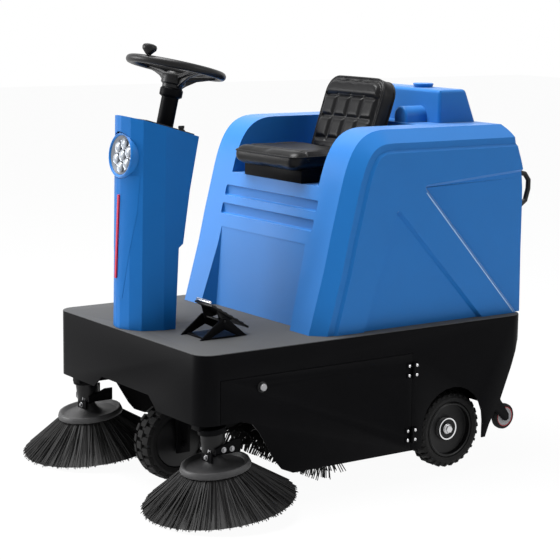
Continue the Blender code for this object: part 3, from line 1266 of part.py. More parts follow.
def filler_cap():
    radius, height = CAP["radius"], CAP["height"]
    profile = [(0, height), (radius * 0.92, height), (radius, height - 0.002), (radius * 0.90, 0), (0, 0)]
    cap = turned("filler_cap", profile, at(CAP["x"], CAP["station"], HOUSING["top"] + GAP), (0, 0, 1), 24)
    return keep(smooth(cap), "blue_shell")


def hood_rear(height):
    """Station of the hood's rear face at this height."""
    rear = [point for point in HOOD_OUTLINE if point[0] > HOUSING["rear_foot"]]
    for (station_a, high), (station_b, low) in zip(rear, rear[1:]):
        if low <= height <= high:
            return station_a + (station_b - station_a) * (high - height) / (high - low)
    return rear[-1][0]


def rear_handle():
    top, bottom, radius, reach = GRAB["top"], GRAB["bottom"], GRAB["radius"], GRAB["reach"]
    start = hood_rear(top - radius) + 2 * GAP
    end = hood_rear(bottom - radius) + 2 * GAP
    route = [(start, top), (start + 0.010, top), (reach - 0.018, top - 0.006), (reach, top - 0.028),
             (reach, top - 0.058),
             (reach - 0.012, bottom + 0.018), (end + 0.010, bottom), (end, bottom)]
    handle = pipe("rear_handle", [at(GRAB["x"], station, height) for station, height in route], radius)
    return keep(smooth(handle), "black_plastic")


# Batteries, filter and fan


def battery_pack():
    """Four traction batteries on one tray, strapped as a block."""
    base = DECK_TOP + GAP
    half, front, rear, gap = BATTERY["half"], BATTERY["front"], BATTERY["rear"], BATTERY["gap"]
    tray = box("battery_pack", at(-half, front, base), at(half, rear, base + 2 * BATTERY["tray"]))
    middle = (front + rear) / 2
    for row, (start, end) in enumerate(((front + gap, middle - gap / 2), (middle + gap / 2, rear - gap))):
        for side, sign in sides():
            low, high = span(sign, gap / 2, half - gap)
            block = box(f"{side}_battery_{row}", at(low, start, base + BATTERY["tray"]),
                        at(high, end, BATTERY["top"]))
            join(tray, block)
    return keep(tray, "grey_plastic")


def filter_cartridge():
    half, front, rear, lip = FILTER["half"], FILTER["front"], FILTER["rear"], FILTER["lip"]
    body = box("filter_cartridge", at(-half, front, FILTER["bottom"]), at(half, rear, DECK_TOP + 0.004))
    flange = box("filter_flange", at(-half - lip, front - lip, DECK_TOP + GAP),
                 at(half + lip, rear + lip, DECK_TOP + FILTER["flange"]))
    return keep(join(body, flange), "grey_plastic")


def vacuum_fan():
    base = DECK_TOP + FILTER["flange"] + GAP
    radius, height = FAN["radius"], FAN["height"]
    top = height + FAN["motor_height"]
    profile = [(0, top), (FAN["motor_radius"], top), (FAN["motor_radius"], height), (radius, height),
               (radius, 0),
               (0, 0)]
    station = (FILTER["front"] + FILTER["rear"]) / 2
    return keep(smooth(turned("vacuum_fan", profile, at(0, station, base), (0, 0, 1), 24)), "black_plastic")


# Drive pedal


def pedal_bracket():
    base = DECK_TOP + GAP
    front, rear = PEDAL_BRACKET["front"], PEDAL_BRACKET["rear"]
    cheek, play = PEDAL_BRACKET["cheek"], PEDAL_BRACKET["play"]
    inner, outer = PEDAL["inner"] - play - cheek, PEDAL["outer"] + play + cheek
    bracket = box("pedal_bracket", at(inner, front + 0.02, base),
                  at(outer, rear - 0.02, base + PEDAL_BRACKET["base"]))
    station, height = PEDAL["pivot_station"], PEDAL["pivot_height"]
    foot = base + 0.0005
    outline = [(front, foot), (front + 0.030, foot), (station, height - 0.026), (rear - 0.030, foot),
               (rear, foot),
               (station + 0.010, height + 0.010), (station - 0.010, height + 0.010)]
    for word, low in (("inner", inner + 0.0005), ("outer", outer - cheek - 0.0005)):
        join(bracket, slab(word + "_pedal_cheek", [stations(outline)], "YZ", low, low + cheek))
    reach = Vector((0.03, 0, 0))
    for word, x in (("inner", inner), ("outer", outer)):
        centre = at(x, station, height)
        cut(bracket, rod(word + "_pedal_bore", centre - reach, centre + reach, PEDAL["rod"] + PIN_PLAY, 12))
    return keep(bracket, "black_steel")


def pedal():
    slope = math.atan2(PEDAL["front_height"] - PEDAL["rear_height"], PEDAL["rear"] - PEDAL["front"])
    length = math.hypot(PEDAL["front_height"] - PEDAL["rear_height"], PEDAL["rear"] - PEDAL["front"])
    thickness = PEDAL["thickness"]
    down = (math.sin(slope) * thickness, math.cos(slope) * thickness)
    outline = [(PEDAL["rear"], PEDAL["rear_height"]), (PEDAL["front"], PEDAL["front_height"]),
               (PEDAL["front"] - down[0], PEDAL["front_height"] - down[1]),
               (PEDAL["rear"] - down[0], PEDAL["rear_height"] - down[1])]
    plate = slab("pedal", [stations(outline)], "YZ", PEDAL["inner"], PEDAL["outer"])
    station, height = PEDAL["pivot_station"], PEDAL["pivot_height"]
    along = 0.28 * length
    middle = (station, PEDAL["rear_height"] + (PEDAL["rear"] - station) * math.tan(slope) - thickness)
    rib = [(station + 0.008, height - 0.006),
           (middle[0] + along, middle[1] - along * math.tan(slope) + 0.004),
           (middle[0] - along / 2, middle[1] + along / 2 * math.tan(slope) + 0.004),
           (station - 0.008, height - 0.006)]
    for word, low in (("inner", PEDAL["inner"] + 0.004), ("outer", PEDAL["outer"] - 0.008)):
        join(plate, slab(word + "_pedal_rib", [stations(rib)], "YZ", low, low + 0.004))
    reach = PEDAL_BRACKET["play"] + PEDAL_BRACKET["cheek"] + 0.002
    join(plate, rod("pedal_rod", at(PEDAL["inner"] - reach, station, height),
                    at(PEDAL["outer"] + reach, station, height), PEDAL["rod"], 12))
    pivot(plate, at(PEDAL["inner"], station, height))
    return keep(plate, "black_plastic")


def build():
    body_shell()
    deck_mat()
    chassis_frame()
    for side, sign in sides():
        door(side, sign)
        for word, middle in zip(("lower", "upper"), HINGE["heights"]):
            door_hinge(side, sign, word, middle)
        door_lock(side, sign)
        rear_wheel(side, sign)
        rear_axle(side, sign)
        side_brush(side, sign)
        brush_motor(side, sign)
        brush_arm(side, sign)
        caster_wheel(side, sign)
    front_wheel()
    steering_fork()
    main_broom()
    broom_arm()
    dust_bin()
    steering_wheel()
    steering_shaft()
    steering_tube()
    steering_knob()
    lower_shaft()
    steering_chain()
    column_cover()
    dash_panel()
    key_switch()
    horn_button()
    headlight()
    light_strip()
    hood()
    seat()
    rear_housing()
    filler_cap()
    rear_handle()
    battery_pack()
    filter_cartridge()
    vacuum_fan()
    pedal_bracket()
    pedal()


clear_scene()
SWEEPER = new_collection("ride_on_sweeper")
CUTTERS = new_collection("cutters")
build()
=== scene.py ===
import math
import random

import bpy
from mathutils import Matrix, Vector


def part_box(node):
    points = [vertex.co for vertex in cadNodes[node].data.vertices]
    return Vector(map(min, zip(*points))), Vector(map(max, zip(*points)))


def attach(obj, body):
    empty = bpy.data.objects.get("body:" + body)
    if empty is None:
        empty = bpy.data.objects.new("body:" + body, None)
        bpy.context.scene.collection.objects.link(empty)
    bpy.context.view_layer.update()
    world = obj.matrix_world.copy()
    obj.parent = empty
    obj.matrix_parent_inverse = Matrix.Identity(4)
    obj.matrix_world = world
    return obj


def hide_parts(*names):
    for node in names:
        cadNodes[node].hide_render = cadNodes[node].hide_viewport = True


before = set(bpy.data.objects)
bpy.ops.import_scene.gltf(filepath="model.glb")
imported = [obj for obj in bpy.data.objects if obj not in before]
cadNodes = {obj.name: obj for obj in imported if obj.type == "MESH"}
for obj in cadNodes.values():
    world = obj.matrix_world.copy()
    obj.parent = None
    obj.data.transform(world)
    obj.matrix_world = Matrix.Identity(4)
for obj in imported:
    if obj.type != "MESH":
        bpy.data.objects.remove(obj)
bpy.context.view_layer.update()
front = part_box("body_shell")[0].y  # front face of the chassis, where stations start


def spot(x, station, height):
    return Vector((x, front + station, height))


# Small helpers for working in edit mode
def pickNothing():
    if bpy.context.mode != "OBJECT":
        bpy.ops.object.mode_set(mode="OBJECT")
    bpy.ops.object.select_all(action="DESELECT")


def pick(*objects):
    pickNothing()
    for obj in objects:
        obj.select_set(True)
    bpy.context.view_layer.objects.active = objects[0]


def edit(obj, mode="FACE"):
    pick(obj)
    bpy.ops.object.mode_set(mode="EDIT")
    bpy.ops.mesh.select_mode(type=mode)


def done():
    bpy.ops.object.mode_set(mode="OBJECT")


def selectFaces(obj, wanted):
    edit(obj, "FACE")
    bpy.ops.mesh.select_all(action="DESELECT")
    done()
    for face in obj.data.polygons:
        face.select = wanted(face)
    edit(obj, "FACE")


def selectEdges(obj, wanted):
    edit(obj, "EDGE")
    bpy.ops.mesh.select_all(action="DESELECT")
    done()
    points = [v.co for v in obj.data.vertices]
    for edge in obj.data.edges:
        edge.select = wanted(points[edge.vertices[0]], points[edge.vertices[1]])
    edit(obj, "EDGE")


def settle(obj):
    pick(obj)
    bpy.ops.object.transform_apply(location=True, rotation=True, scale=True)
    return obj


def useModifiers(obj):
    pick(obj)
    for modifier in list(obj.modifiers):
        bpy.ops.object.modifier_apply(modifier=modifier.name)
    return obj


def faceOut(obj, merge=0.00002):
    edit(obj, "VERT")
    bpy.ops.mesh.select_all(action="SELECT")
    bpy.ops.mesh.remove_doubles(threshold=merge)
    bpy.ops.mesh.normals_make_consistent(inside=False)
    done()
    return obj


def roundOff(obj, width, segments=2, angle=30):
    bevel = obj.modifiers.new("softEdge", "BEVEL")
    bevel.width = width
    bevel.segments = segments
    bevel.limit_method = "ANGLE"
    bevel.angle_limit = math.radians(angle)
    bevel.use_clamp_overlap = True
    bevel.harden_normals = False
    return useModifiers(obj)


def carve(obj, cutter, how="DIFFERENCE"):
    boolean = obj.modifiers.new("carve", "BOOLEAN")
    boolean.operation = how
    boolean.solver = "MANIFOLD"
    boolean.object = cutter
    useModifiers(obj)
    bpy.data.objects.remove(cutter, do_unlink=True)
    return obj


def joined(pieces, name):
    pick(*pieces)
    if len(pieces) > 1:
        bpy.ops.object.join()
    obj = bpy.context.view_layer.objects.active
    obj.name = name
    return obj


def copied(obj, matrix):
    twin = obj.copy()
    twin.data = obj.data.copy()
    bpy.context.scene.collection.objects.link(twin)
    twin.data.transform(matrix)
    return twin


def block(name, low, high, soft=0.0, segments=2):
    pickNothing()
    bpy.ops.mesh.primitive_cube_add(size=1, location=(low + high) / 2)
    obj = bpy.context.object
    obj.name = name
    obj.scale = high - low
    settle(obj)
    return roundOff(obj, soft, segments) if soft else obj


def plate(name, outline, across, low, high):
    # A flat outline given thickness: across is the axis that the thickness lies along
    pickNothing()
    bpy.ops.mesh.primitive_circle_add(vertices=len(outline), fill_type="NGON", location=(0, 0, 0))
    obj = bpy.context.object
    obj.name = name
    for vertex, (u, v) in zip(obj.data.vertices, outline):
        vertex.co = {"x": (low, u, v), "y": (u, low, v), "z": (u, v, low)}[across]
    step = {"x": (high - low, 0, 0), "y": (0, high - low, 0), "z": (0, 0, high - low)}[across]
    edit(obj, "FACE")
    bpy.ops.mesh.select_all(action="SELECT")
    bpy.ops.mesh.extrude_region_move(TRANSFORM_OT_translate={"value": step})
    done()
    return faceOut(obj)


def facing(axis, place=(0, 0, 0)):
    # Turns +Z to lie along the axis, and moves it to the place
    return Matrix.Translation(place) @ Vector(axis).to_track_quat("Z", "Y").to_matrix().to_4x4()


def spun(name, profile, steps=48, origin=(0, 0, 0), axis=(0, 0, 1)):
    # (radius, height) points turned right round, with the last joined to the first
    pickNothing()
    bpy.ops.mesh.primitive_circle_add(vertices=len(profile), fill_type="NOTHING", location=(0, 0, 0))
    obj = bpy.context.object
    obj.name = name
    for vertex, (radius, height) in zip(obj.data.vertices, profile):
        vertex.co = (radius, 0, height)
    edit(obj, "EDGE")
    bpy.ops.mesh.select_all(action="SELECT")
    bpy.ops.mesh.spin(steps=steps, angle=2 * math.pi, center=(0, 0, 0), axis=(0, 0, 1))
    bpy.ops.mesh.select_all(action="SELECT")
    bpy.ops.mesh.remove_doubles(threshold=0.00002)
    bpy.ops.mesh.dissolve_degenerate(threshold=0.00001)
    bpy.ops.mesh.select_all(action="SELECT")
    bpy.ops.mesh.normals_make_consistent(inside=False)
    done()
    obj.data.transform(facing(axis, origin))
    return obj


def bar(name, route, radius, resolution):
    # A round cord along a smooth route of at least five points
    pickNothing()
    bpy.ops.curve.primitive_nurbs_path_add(location=(0, 0, 0))
    obj = bpy.context.object
    obj.name = name
    spline = obj.data.splines[0]
    spline.points.add(max(0, len(route) - len(spline.points)))
    for point, place in zip(spline.points, route):
        point.co = (*place, 1)
    spline.order_u = 4
    spline.use_endpoint_u = True
    obj.data.bevel_depth = radius
    obj.data.bevel_resolution = resolution
    obj.data.use_fill_caps = True
    obj.data.resolution_u = 6
    bpy.ops.object.convert(target="MESH")
    return faceOut(bpy.context.object)


def softCopy(node, width=0.001, segments=2, angle=30, flat=0.6):
    # The CAD node's own shape with its triangles merged and its edges softened
    obj = copied(cadNodes[node], Matrix.Identity(4))
    obj.parent = None
    for key in list(obj.keys()):
        del obj[key]
    obj.data.materials.clear()
    obj.name = node + "_finished"
    edit(obj, "VERT")
    bpy.ops.mesh.select_all(action="SELECT")
    bpy.ops.mesh.remove_doubles(threshold=0.00001)
    bpy.ops.mesh.dissolve_limited(angle_limit=math.radians(flat))
    done()
    return roundOff(obj, width, segments, angle) if width else obj


def finishPiece(obj, body, finish, replaces=(), angle=30):
    obj.data.materials.clear()
    obj.data.materials.append(paint[finish])
    pick(obj)
    bpy.ops.object.shade_smooth_by_angle(angle=math.radians(angle))
    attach(obj, body)
    if replaces:
        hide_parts(*replaces)
    return obj


def smoothLine(points, steps):
    # A flowing line through the points, with this many steps between each two
    line = []
    for index in range(len(points) - 1):
        a = Vector(points[max(index - 1, 0)])
        b, c = Vector(points[index]), Vector(points[index + 1])
        d = Vector(points[min(index + 2, len(points) - 1)])
        for step in range(steps):
            t = step / steps
            bend, twist = 2 * a - 5 * b + 4 * c - d, 3 * b - a - 3 * c + d
            line.append(tuple(0.5 * (2 * b + (c - a) * t + bend * t * t + twist * t ** 3)))
    line.append(tuple(points[-1]))
    return line


def sideDistance(point, outline):
    nearest = 1e9
    for i, end in enumerate(outline):
        a, b = Vector(outline[i - 1]), Vector(end)
        along = max(0.0, min(1.0, (point - a).dot(b - a) / max((b - a).length_squared, 1e-12)))
        nearest = min(nearest, (point - a.lerp(b, along)).length)
    return nearest


def insetOutline(outline, distance):
    # The outline moved in by this distance, without the points that would cross over
    count = len(outline)
    area = sum(outline[i][0] * outline[(i + 1) % count][1] - outline[(i + 1) % count][0] * outline[i][1]
               for i in range(count))
    sign = 1 if area > 0 else -1
    moved = []
    for i in range(count):
        here = Vector(outline[i])
        before, after = here - Vector(outline[i - 1]), Vector(outline[(i + 1) % count]) - here
        normals = [sign * Vector((-side.y, side.x)).normalized() for side in (before, after)]
        middle = (normals[0] + normals[1]).normalized()
        point = here + middle * distance / max(0.3, middle.dot(normals[0]))
        if sideDistance(point, outline) > abs(distance) - 0.0004:
            moved.append(tuple(point))
    return moved


def bentLine(start, corner, end, steps, reach=0.75):
    # A smooth bend that leaves start and arrives at end along the lines to the corner
    a, c, d = Vector(start), Vector(corner), Vector(end)
    b, e = a.lerp(c, reach), d.lerp(c, reach)
    return [tuple(a * (1 - t) ** 3 + b * 3 * t * (1 - t) ** 2 + e * 3 * t * t * (1 - t) + d * t ** 3)
            for t in [i / steps for i in range(steps + 1)]]


def bothSides():
    return (("left", 1), ("right", -1))


def crisp(obj, angle):
    # Flat faces stay flat and rounded edges run smoothly into them
    pick(obj)
    bpy.ops.object.shade_smooth_by_angle(angle=math.radians(angle))
    weighted = obj.modifiers.new("evenShade", "WEIGHTED_NORMAL")
    weighted.keep_sharp = True
    return useModifiers(obj)


def finished(obj, body, finish, replaces=(), angle=30):
    # A hard piece with its body and finish, and the nodes that it stands for
    return crisp(finishPiece(obj, body, finish, replaces, angle), angle)


def taperedCutter(name, outline, outer, inner, slope, sign):
    # A cutter for a shallow recess: full size at the surface, smaller at its floor
    low, high = sorted((sign * outer, sign * (outer + 0.03)))
    cutter = plate(name, outline, "x", low, high)
    selectFaces(cutter, lambda face: face.normal.x * sign < -0.9)
    bpy.ops.mesh.inset(thickness=slope, depth=0)
    bpy.ops.transform.translate(value=(sign * (inner - outer), 0, 0))
    done()
    return faceOut(cutter)


def roundedCorners(outline, radius, steps=4, keep=()):
    # Every corner of a closed outline cut back and rounded, apart from the kept ones
    rounded = []
    count = len(outline)
    for i, here in enumerate(outline):
        if i in keep:
            rounded.append(tuple(here))
            continue
        corner = Vector(here)
        before, after = Vector(outline[i - 1]) - corner, Vector(outline[(i + 1) % count]) - corner
        reach = min(radius, before.length * 0.45, after.length * 0.45)
        start, end = corner + before.normalized() * reach, corner + after.normalized() * reach
        for step in range(steps + 1):
            t = step / steps
            rounded.append(tuple(start * (1 - t) ** 2 + corner * 2 * t * (1 - t) + end * t * t))
    return rounded


# Shader groups that several finishes share
def newGroup(name, inputs, outputs):
    group = bpy.data.node_groups.new(name, "ShaderNodeTree")
    for socket, kind, value in inputs:
        made = group.interface.new_socket(name=socket, in_out="INPUT", socket_type="NodeSocket" + kind)
        if value is not None:
            made.default_value = value
    for socket, kind in outputs:
        group.interface.new_socket(name=socket, in_out="OUTPUT", socket_type="NodeSocket" + kind)
    return group, group.nodes.new("NodeGroupInput"), group.nodes.new("NodeGroupOutput")


def addNode(tree, kind, links=(), **settings):
    node = tree.nodes.new("ShaderNode" + kind)
    for key, value in settings.items():
        if hasattr(node, key):
            setattr(node, key, value)
        else:
            node.inputs[key.replace("_", " ")].default_value = value
    for socket, source in links:
        tree.links.new(source, node.inputs[socket])
    return node


def buildMottle():
    # Slow drift in tone over a surface, and a mask that the roughness can follow
    group, given, result = newGroup("toneMottle", (("Vector", "Vector", None), ("Color", "Color", None),
                                                   ("Scale", "Float", 6.0), ("Amount", "Float", 0.08)),
                                    (("Color", "Color"), ("Mask", "Float")))
    broad = addNode(group, "TexNoise", (("Vector", given.outputs["Vector"]), ("Scale", given.outputs["Scale"])),
                    Detail=5.0, Roughness=0.55)
    centred = addNode(group, "Math", ((0, broad.outputs["Fac"]),), operation="SUBTRACT")
    centred.inputs[1].default_value = 0.5
    scaled = addNode(group, "Math", ((0, centred.outputs[0]), (1, given.outputs["Amount"])), operation="MULTIPLY")
    lifted = addNode(group, "Math", ((0, scaled.outputs[0]),), operation="MULTIPLY_ADD")
    lifted.inputs[1].default_value = 2.0
    lifted.inputs[2].default_value = 1.0
    tone = addNode(group, "HueSaturation", (("Color", given.outputs["Color"]), ("Value", lifted.outputs[0])))
    group.links.new(tone.outputs["Color"], result.inputs["Color"])
    group.links.new(broad.outputs["Fac"], result.inputs["Mask"])
    return group


def buildGrain():
    # The fine pebbled skin of a moulding, a coat of paint or a mat, as a height and a mask
    inputs = (("Vector", "Vector", None), ("Scale", "Float", 400.0), ("Coarse", "Float", 0.3))
    group, given, result = newGroup("pebbledSkin", inputs, (("Height", "Float"), ("Mask", "Float")))
    fine = addNode(group, "TexNoise", (("Vector", given.outputs["Vector"]), ("Scale", given.outputs["Scale"])),
                   Detail=3.0)
    cells = addNode(group, "TexVoronoi", (("Vector", given.outputs["Vector"]), ("Scale", given.outputs["Scale"])),
                    feature="SMOOTH_F1")
    mixed = addNode(group, "Mix", ((0, given.outputs["Coarse"]), (2, fine.outputs["Fac"]),
                                   (3, cells.outputs["Distance"])))
    group.links.new(mixed.outputs[0], result.inputs["Height"])
    group.links.new(fine.outputs["Fac"], result.inputs["Mask"])
    return group


def buildDust():
    # Pale floor dust that gathers on the lowest parts and in patches
    group, given, result = newGroup("floorDust", (("Vector", "Vector", None), ("Color", "Color", None),
                                                  ("Dust", "Color", (0.23, 0.22, 0.20, 1)), ("Top", "Float", 0.3),
                                                  ("Amount", "Float", 0.3)), (("Color", "Color"), ("Mask", "Float")))
    place = addNode(group, "SeparateXYZ", (("Vector", given.outputs["Vector"]),))
    fade = addNode(group, "MapRange", (("Value", place.outputs["Z"]), ("From Max", given.outputs["Top"])))
    fade.inputs["To Min"].default_value = 1.0
    fade.inputs["To Max"].default_value = 0.0
    patches = addNode(group, "TexNoise", (("Vector", given.outputs["Vector"]),), Scale=24.0, Detail=6.0)
    mask = addNode(group, "Math", ((0, fade.outputs["Result"]), (1, patches.outputs["Fac"])), operation="MULTIPLY")
    strength = addNode(group, "Math", ((0, mask.outputs[0]), (1, given.outputs["Amount"])), operation="MULTIPLY",
                       use_clamp=True)
    mixed = addNode(group, "Mix", ((0, strength.outputs[0]), (6, given.outputs["Color"]), (7, given.outputs["Dust"])),
                    data_type="RGBA")
    group.links.new(mixed.outputs[2], result.inputs["Color"])
    group.links.new(strength.outputs[0], result.inputs["Mask"])
    return group


def buildScratches():
    # Fine lines along one direction, for turned or brushed metal
    group, given, result = newGroup("fineLines", (("Vector", "Vector", None), ("Scale", "Float", 60.0)),
                                    (("Height", "Float"), ("Mask", "Float")))
    stretched = addNode(group, "VectorMath", (("Vector", given.outputs["Vector"]),), operation="MULTIPLY")
    stretched.inputs[1].default_value = (1.0, 1.0, 14.0)
    lines = addNode(group, "TexNoise", (("Vector", stretched.outputs[0]), ("Scale", given.outputs["Scale"])),
                    Detail=4.0, Roughness=0.7)
    group.links.new(lines.outputs["Fac"], result.inputs["Height"])
    group.links.new(lines.outputs["Fac"], result.inputs["Mask"])
    return group


groups = {"mottle": buildMottle(), "grain": buildGrain(), "dust": buildDust(), "lines": buildScratches()}

finishes = {
    "hoodBlue": {"color": (0.0060, 0.132, 0.415), "rough": 0.42, "drift": 0.05, "grain": 900, "depth": 0.00006,
                 "coat": 0.0, "dust": 0.0, "sheen": 0.20, "haze": 0.30},
    "chassisBlack": {"color": (0.0026, 0.0026, 0.0031), "rough": 0.40, "drift": 0.25, "grain": 1400,
                     "depth": 0.00008, "coat": 0.0, "dust": 0.0, "sheen": 0.03},
    "frameBlack": {"color": (0.004, 0.004, 0.0045), "rough": 0.50, "drift": 0.30, "grain": 900, "depth": 0.0001,
                   "coat": 0.0, "dust": 0.05, "sheen": 0.10},
    "deckGrey": {"color": (0.046, 0.047, 0.049), "rough": 0.72, "drift": 0.22, "grain": 520, "depth": 0.0005,
                 "coat": 0.0, "dust": 0.0},
    "tyreBlack": {"color": (0.006, 0.006, 0.0065), "rough": 0.70, "drift": 0.25, "grain": 700, "depth": 0.0002,
                  "coat": 0.0, "dust": 0.06, "sheen": 0.15},
    "bristleBlack": {"color": (0.006, 0.006, 0.0065), "rough": 0.55, "drift": 0.5, "grain": 300, "depth": 0.0001,
                     "coat": 0.0, "dust": 0.05, "sheen": 0.18},
    "discGrey": {"color": (0.030, 0.030, 0.032), "rough": 0.45, "drift": 0.15, "grain": 600, "depth": 0.0001,
                 "coat": 0.0, "dust": 0.15},
    "gripBlack": {"color": (0.004, 0.004, 0.0045), "rough": 0.38, "drift": 0.2, "grain": 1100, "depth": 0.0001,
                  "coat": 0.0, "dust": 0.0, "sheen": 0.22},
    "seatVinyl": {"color": (0.0030, 0.0030, 0.0035), "rough": 0.34, "drift": 0.2, "grain": 420, "depth": 0.00035,
                  "coat": 0.0, "dust": 0.0, "sheen": 0.14},
    "casterGrey": {"color": (0.34, 0.34, 0.35), "rough": 0.45, "drift": 0.1, "grain": 500, "depth": 0.0001,
                   "coat": 0.0, "dust": 0.2},
    "rimBlack": {"color": (0.0045, 0.0045, 0.005), "rough": 0.33, "drift": 0.15, "grain": 900, "depth": 0.0001,
                 "coat": 0.0, "dust": 0.0, "sheen": 0.2},
    # Pale blue for the line on the rear recess's edge: partly print, partly painted highlight
    "paleLineHighlight": {"color": (0.36, 0.50, 0.68), "rough": 0.45, "drift": 0.06, "grain": 700, "depth": 0.00004,
                 "coat": 0.0, "dust": 0.0},
    "lampGlass": {"color": (0.30, 0.33, 0.37), "rough": 0.30, "drift": 0.5, "grain": 160, "depth": 0.0004,
                  "coat": 0.5, "dust": 0.0, "sheen": 0.5},
    # columnShadedBlue: the hood's blue plastic made darker, as painted shade for the column's sides
    "columnShadedBlue": {"color": (0.0060, 0.108, 0.350), "rough": 0.44, "drift": 0.05, "grain": 900, "depth": 0.00006,
                   "coat": 0.0, "dust": 0.0, "sheen": 0.10},
    "ringRed": {"color": (0.45, 0.02, 0.03), "rough": 0.45, "drift": 0.1, "grain": 500, "depth": 0.0001,
                "coat": 0.0, "dust": 0.1},
    "stripCrimson": {"color": (0.42, 0.004, 0.035), "rough": 0.22, "drift": 0.05, "grain": 300, "depth": 0.00005,
                     "coat": 0.4, "dust": 0.0},
    "caseGrey": {"color": (0.11, 0.11, 0.115), "rough": 0.50, "drift": 0.1, "grain": 500, "depth": 0.0001,
                 "coat": 0.0, "dust": 0.0},
    "filterCream": {"color": (0.55, 0.52, 0.42), "rough": 0.9, "drift": 0.1, "grain": 700, "depth": 0.0003,
                    "coat": 0.0, "dust": 0.0},
}


def placeGroup(tree, kind, links=(), **values):
    node = tree.nodes.new("ShaderNodeGroup")
    node.node_tree = groups[kind]
    for key, value in values.items():
        node.inputs[key].default_value = value
    for socket, source in links:
        tree.links.new(source, node.inputs[socket])
    return node


def moulded(name, spec):
    # Plastic, paint or rubber: drifting tone, floor dust and a pebbled skin
    material = bpy.data.materials.new(name)
    material.use_nodes = True
    tree = material.node_tree
    shader = tree.nodes["Principled BSDF"]
    where = addNode(tree, "TexCoord").outputs["Object"]
    tone = placeGroup(tree, "mottle", (("Vector", where),), Color=(*spec["color"], 1), Scale=7.0, Amount=spec["drift"])
    color = tone.outputs["Color"]
    if spec["dust"]:
        dusty = placeGroup(tree, "dust", (("Vector", where), ("Color", color)), Amount=spec["dust"], Top=0.34)
        color = dusty.outputs["Color"]
    tree.links.new(color, shader.inputs["Base Color"])
    grain = placeGroup(tree, "grain", (("Vector", where),), Scale=spec["grain"], Coarse=0.4)
    rough = addNode(tree, "MapRange", (("Value", tone.outputs["Mask"]),))
    rough.inputs["To Min"].default_value = spec["rough"] * 0.86
    rough.inputs["To Max"].default_value = min(1.0, spec["rough"] * 1.14)
    tree.links.new(rough.outputs["Result"], shader.inputs["Roughness"])
    bump = addNode(tree, "Bump", (("Height", grain.outputs["Height"]),), Strength=0.6, Distance=spec["depth"])
    tree.links.new(bump.outputs["Normal"], shader.inputs["Normal"])
    shader.inputs["Specular IOR Level"].default_value = spec.get("sheen", 0.30)
    shader.inputs["Sheen Weight"].default_value = spec.get("haze", 0.0)
    shader.inputs["Sheen Roughness"].default_value = 0.42
    shader.inputs["Coat Weight"].default_value = spec["coat"]
    shader.inputs["Coat Roughness"].default_value = 0.18
    return material


metals = {
    "brightSteel": {"color": (0.62, 0.62, 0.63), "rough": 0.22, "lines": 90, "depth": 0.00004},
    "chromeRing": {"color": (0.80, 0.80, 0.81), "rough": 0.10, "lines": 40, "depth": 0.00001},
    "reflector": {"color": (0.24, 0.255, 0.28), "rough": 0.34, "lines": 30, "depth": 0.00001},
    "dullSteel": {"color": (0.32, 0.32, 0.33), "rough": 0.38, "lines": 70, "depth": 0.00006},
}


def turnedMetal(name, spec):
    material = bpy.data.materials.new(name)
    material.use_nodes = True
    tree = material.node_tree
    shader = tree.nodes["Principled BSDF"]
    where = addNode(tree, "TexCoord").outputs["Object"]
    tone = placeGroup(tree, "mottle", (("Vector", where),), Color=(*spec["color"], 1), Scale=30.0, Amount=0.10)
    tree.links.new(tone.outputs["Color"], shader.inputs["Base Color"])
    lines = placeGroup(tree, "lines", (("Vector", where),), Scale=spec["lines"])
    rough = addNode(tree, "MapRange", (("Value", lines.outputs["Mask"]),))
    rough.inputs["To Min"].default_value = spec["rough"] * 0.7
    rough.inputs["To Max"].default_value = spec["rough"] * 1.3
    tree.links.new(rough.outputs["Result"], shader.inputs["Roughness"])
    bump = addNode(tree, "Bump", (("Height", lines.outputs["Height"]),), Strength=0.5, Distance=spec["depth"])
    tree.links.new(bump.outputs["Normal"], shader.inputs["Normal"])
    shader.inputs["Metallic"].default_value = 1.0
    return material


paint = {name: moulded(name, spec) for name, spec in finishes.items()}
paint.update({name: turnedMetal(name, spec) for name, spec in metals.items()})
print("finishes ready")


# Camera, light and floor
cameraSpec = {
    "place": (4.61837, -3.30864, 1.61098), "lens": 108.43, "shift": (0.00767, -0.00154),
    "right": (0.57657, 0.81694, 0.01335), "up": (-0.14622, 0.08710, 0.98541), "back": (0.80386, -0.57011, 0.16967),
}


def makeCamera():
    pickNothing()
    bpy.ops.object.camera_add(location=cameraSpec["place"])
    camera = bpy.context.object
    camera.name = "viewCamera"
    axes = Matrix((cameraSpec["right"], cameraSpec["up"], cameraSpec["back"])).transposed()
    camera.rotation_euler = axes.to_euler()
    camera.data.sensor_width = 36
    camera.data.lens = cameraSpec["lens"]
    camera.data.shift_x, camera.data.shift_y = cameraSpec["shift"]
    bpy.context.scene.camera = camera


lampSpec = {
    "frontSoftbox": {"place": (-4.1, -5.0, 2.1), "size": 2.8, "power": 300, "aim": (0, 0, 0.6)},
    "highSoftbox": {"place": (-0.9, -1.2, 5.2), "size": 3.0, "power": 520, "aim": (0, 0, 0.5)},
    "sideSoftbox": {"place": (5.2, 2.6, 3.2), "size": 3.0, "power": 75, "aim": (0, 0.3, 0.6)},
}


def makeLights():
    for name, spec in lampSpec.items():
        pickNothing()
        bpy.ops.object.light_add(type="AREA", location=spec["place"])
        lamp = bpy.context.object
        lamp.name = name
        lamp.data.shape = "SQUARE"
        lamp.data.size = spec["size"]
        lamp.data.energy = spec["power"]
        toward = Vector(spec["aim"]) - Vector(spec["place"])
        lamp.rotation_euler = toward.to_track_quat("-Z", "Y").to_euler()


def seenDirectly(tree):
    # 1 for what the camera, a mirror or glass sees, 0 for the light that falls on things
    path = addNode(tree, "LightPath")
    both = addNode(tree, "Math", ((0, path.outputs["Is Camera Ray"]), (1, path.outputs["Is Glossy Ray"])),
                   operation="ADD")
    return addNode(tree, "Math", ((0, both.outputs[0]), (1, path.outputs["Is Transmission Ray"])),
                   operation="ADD", use_clamp=True).outputs[0]


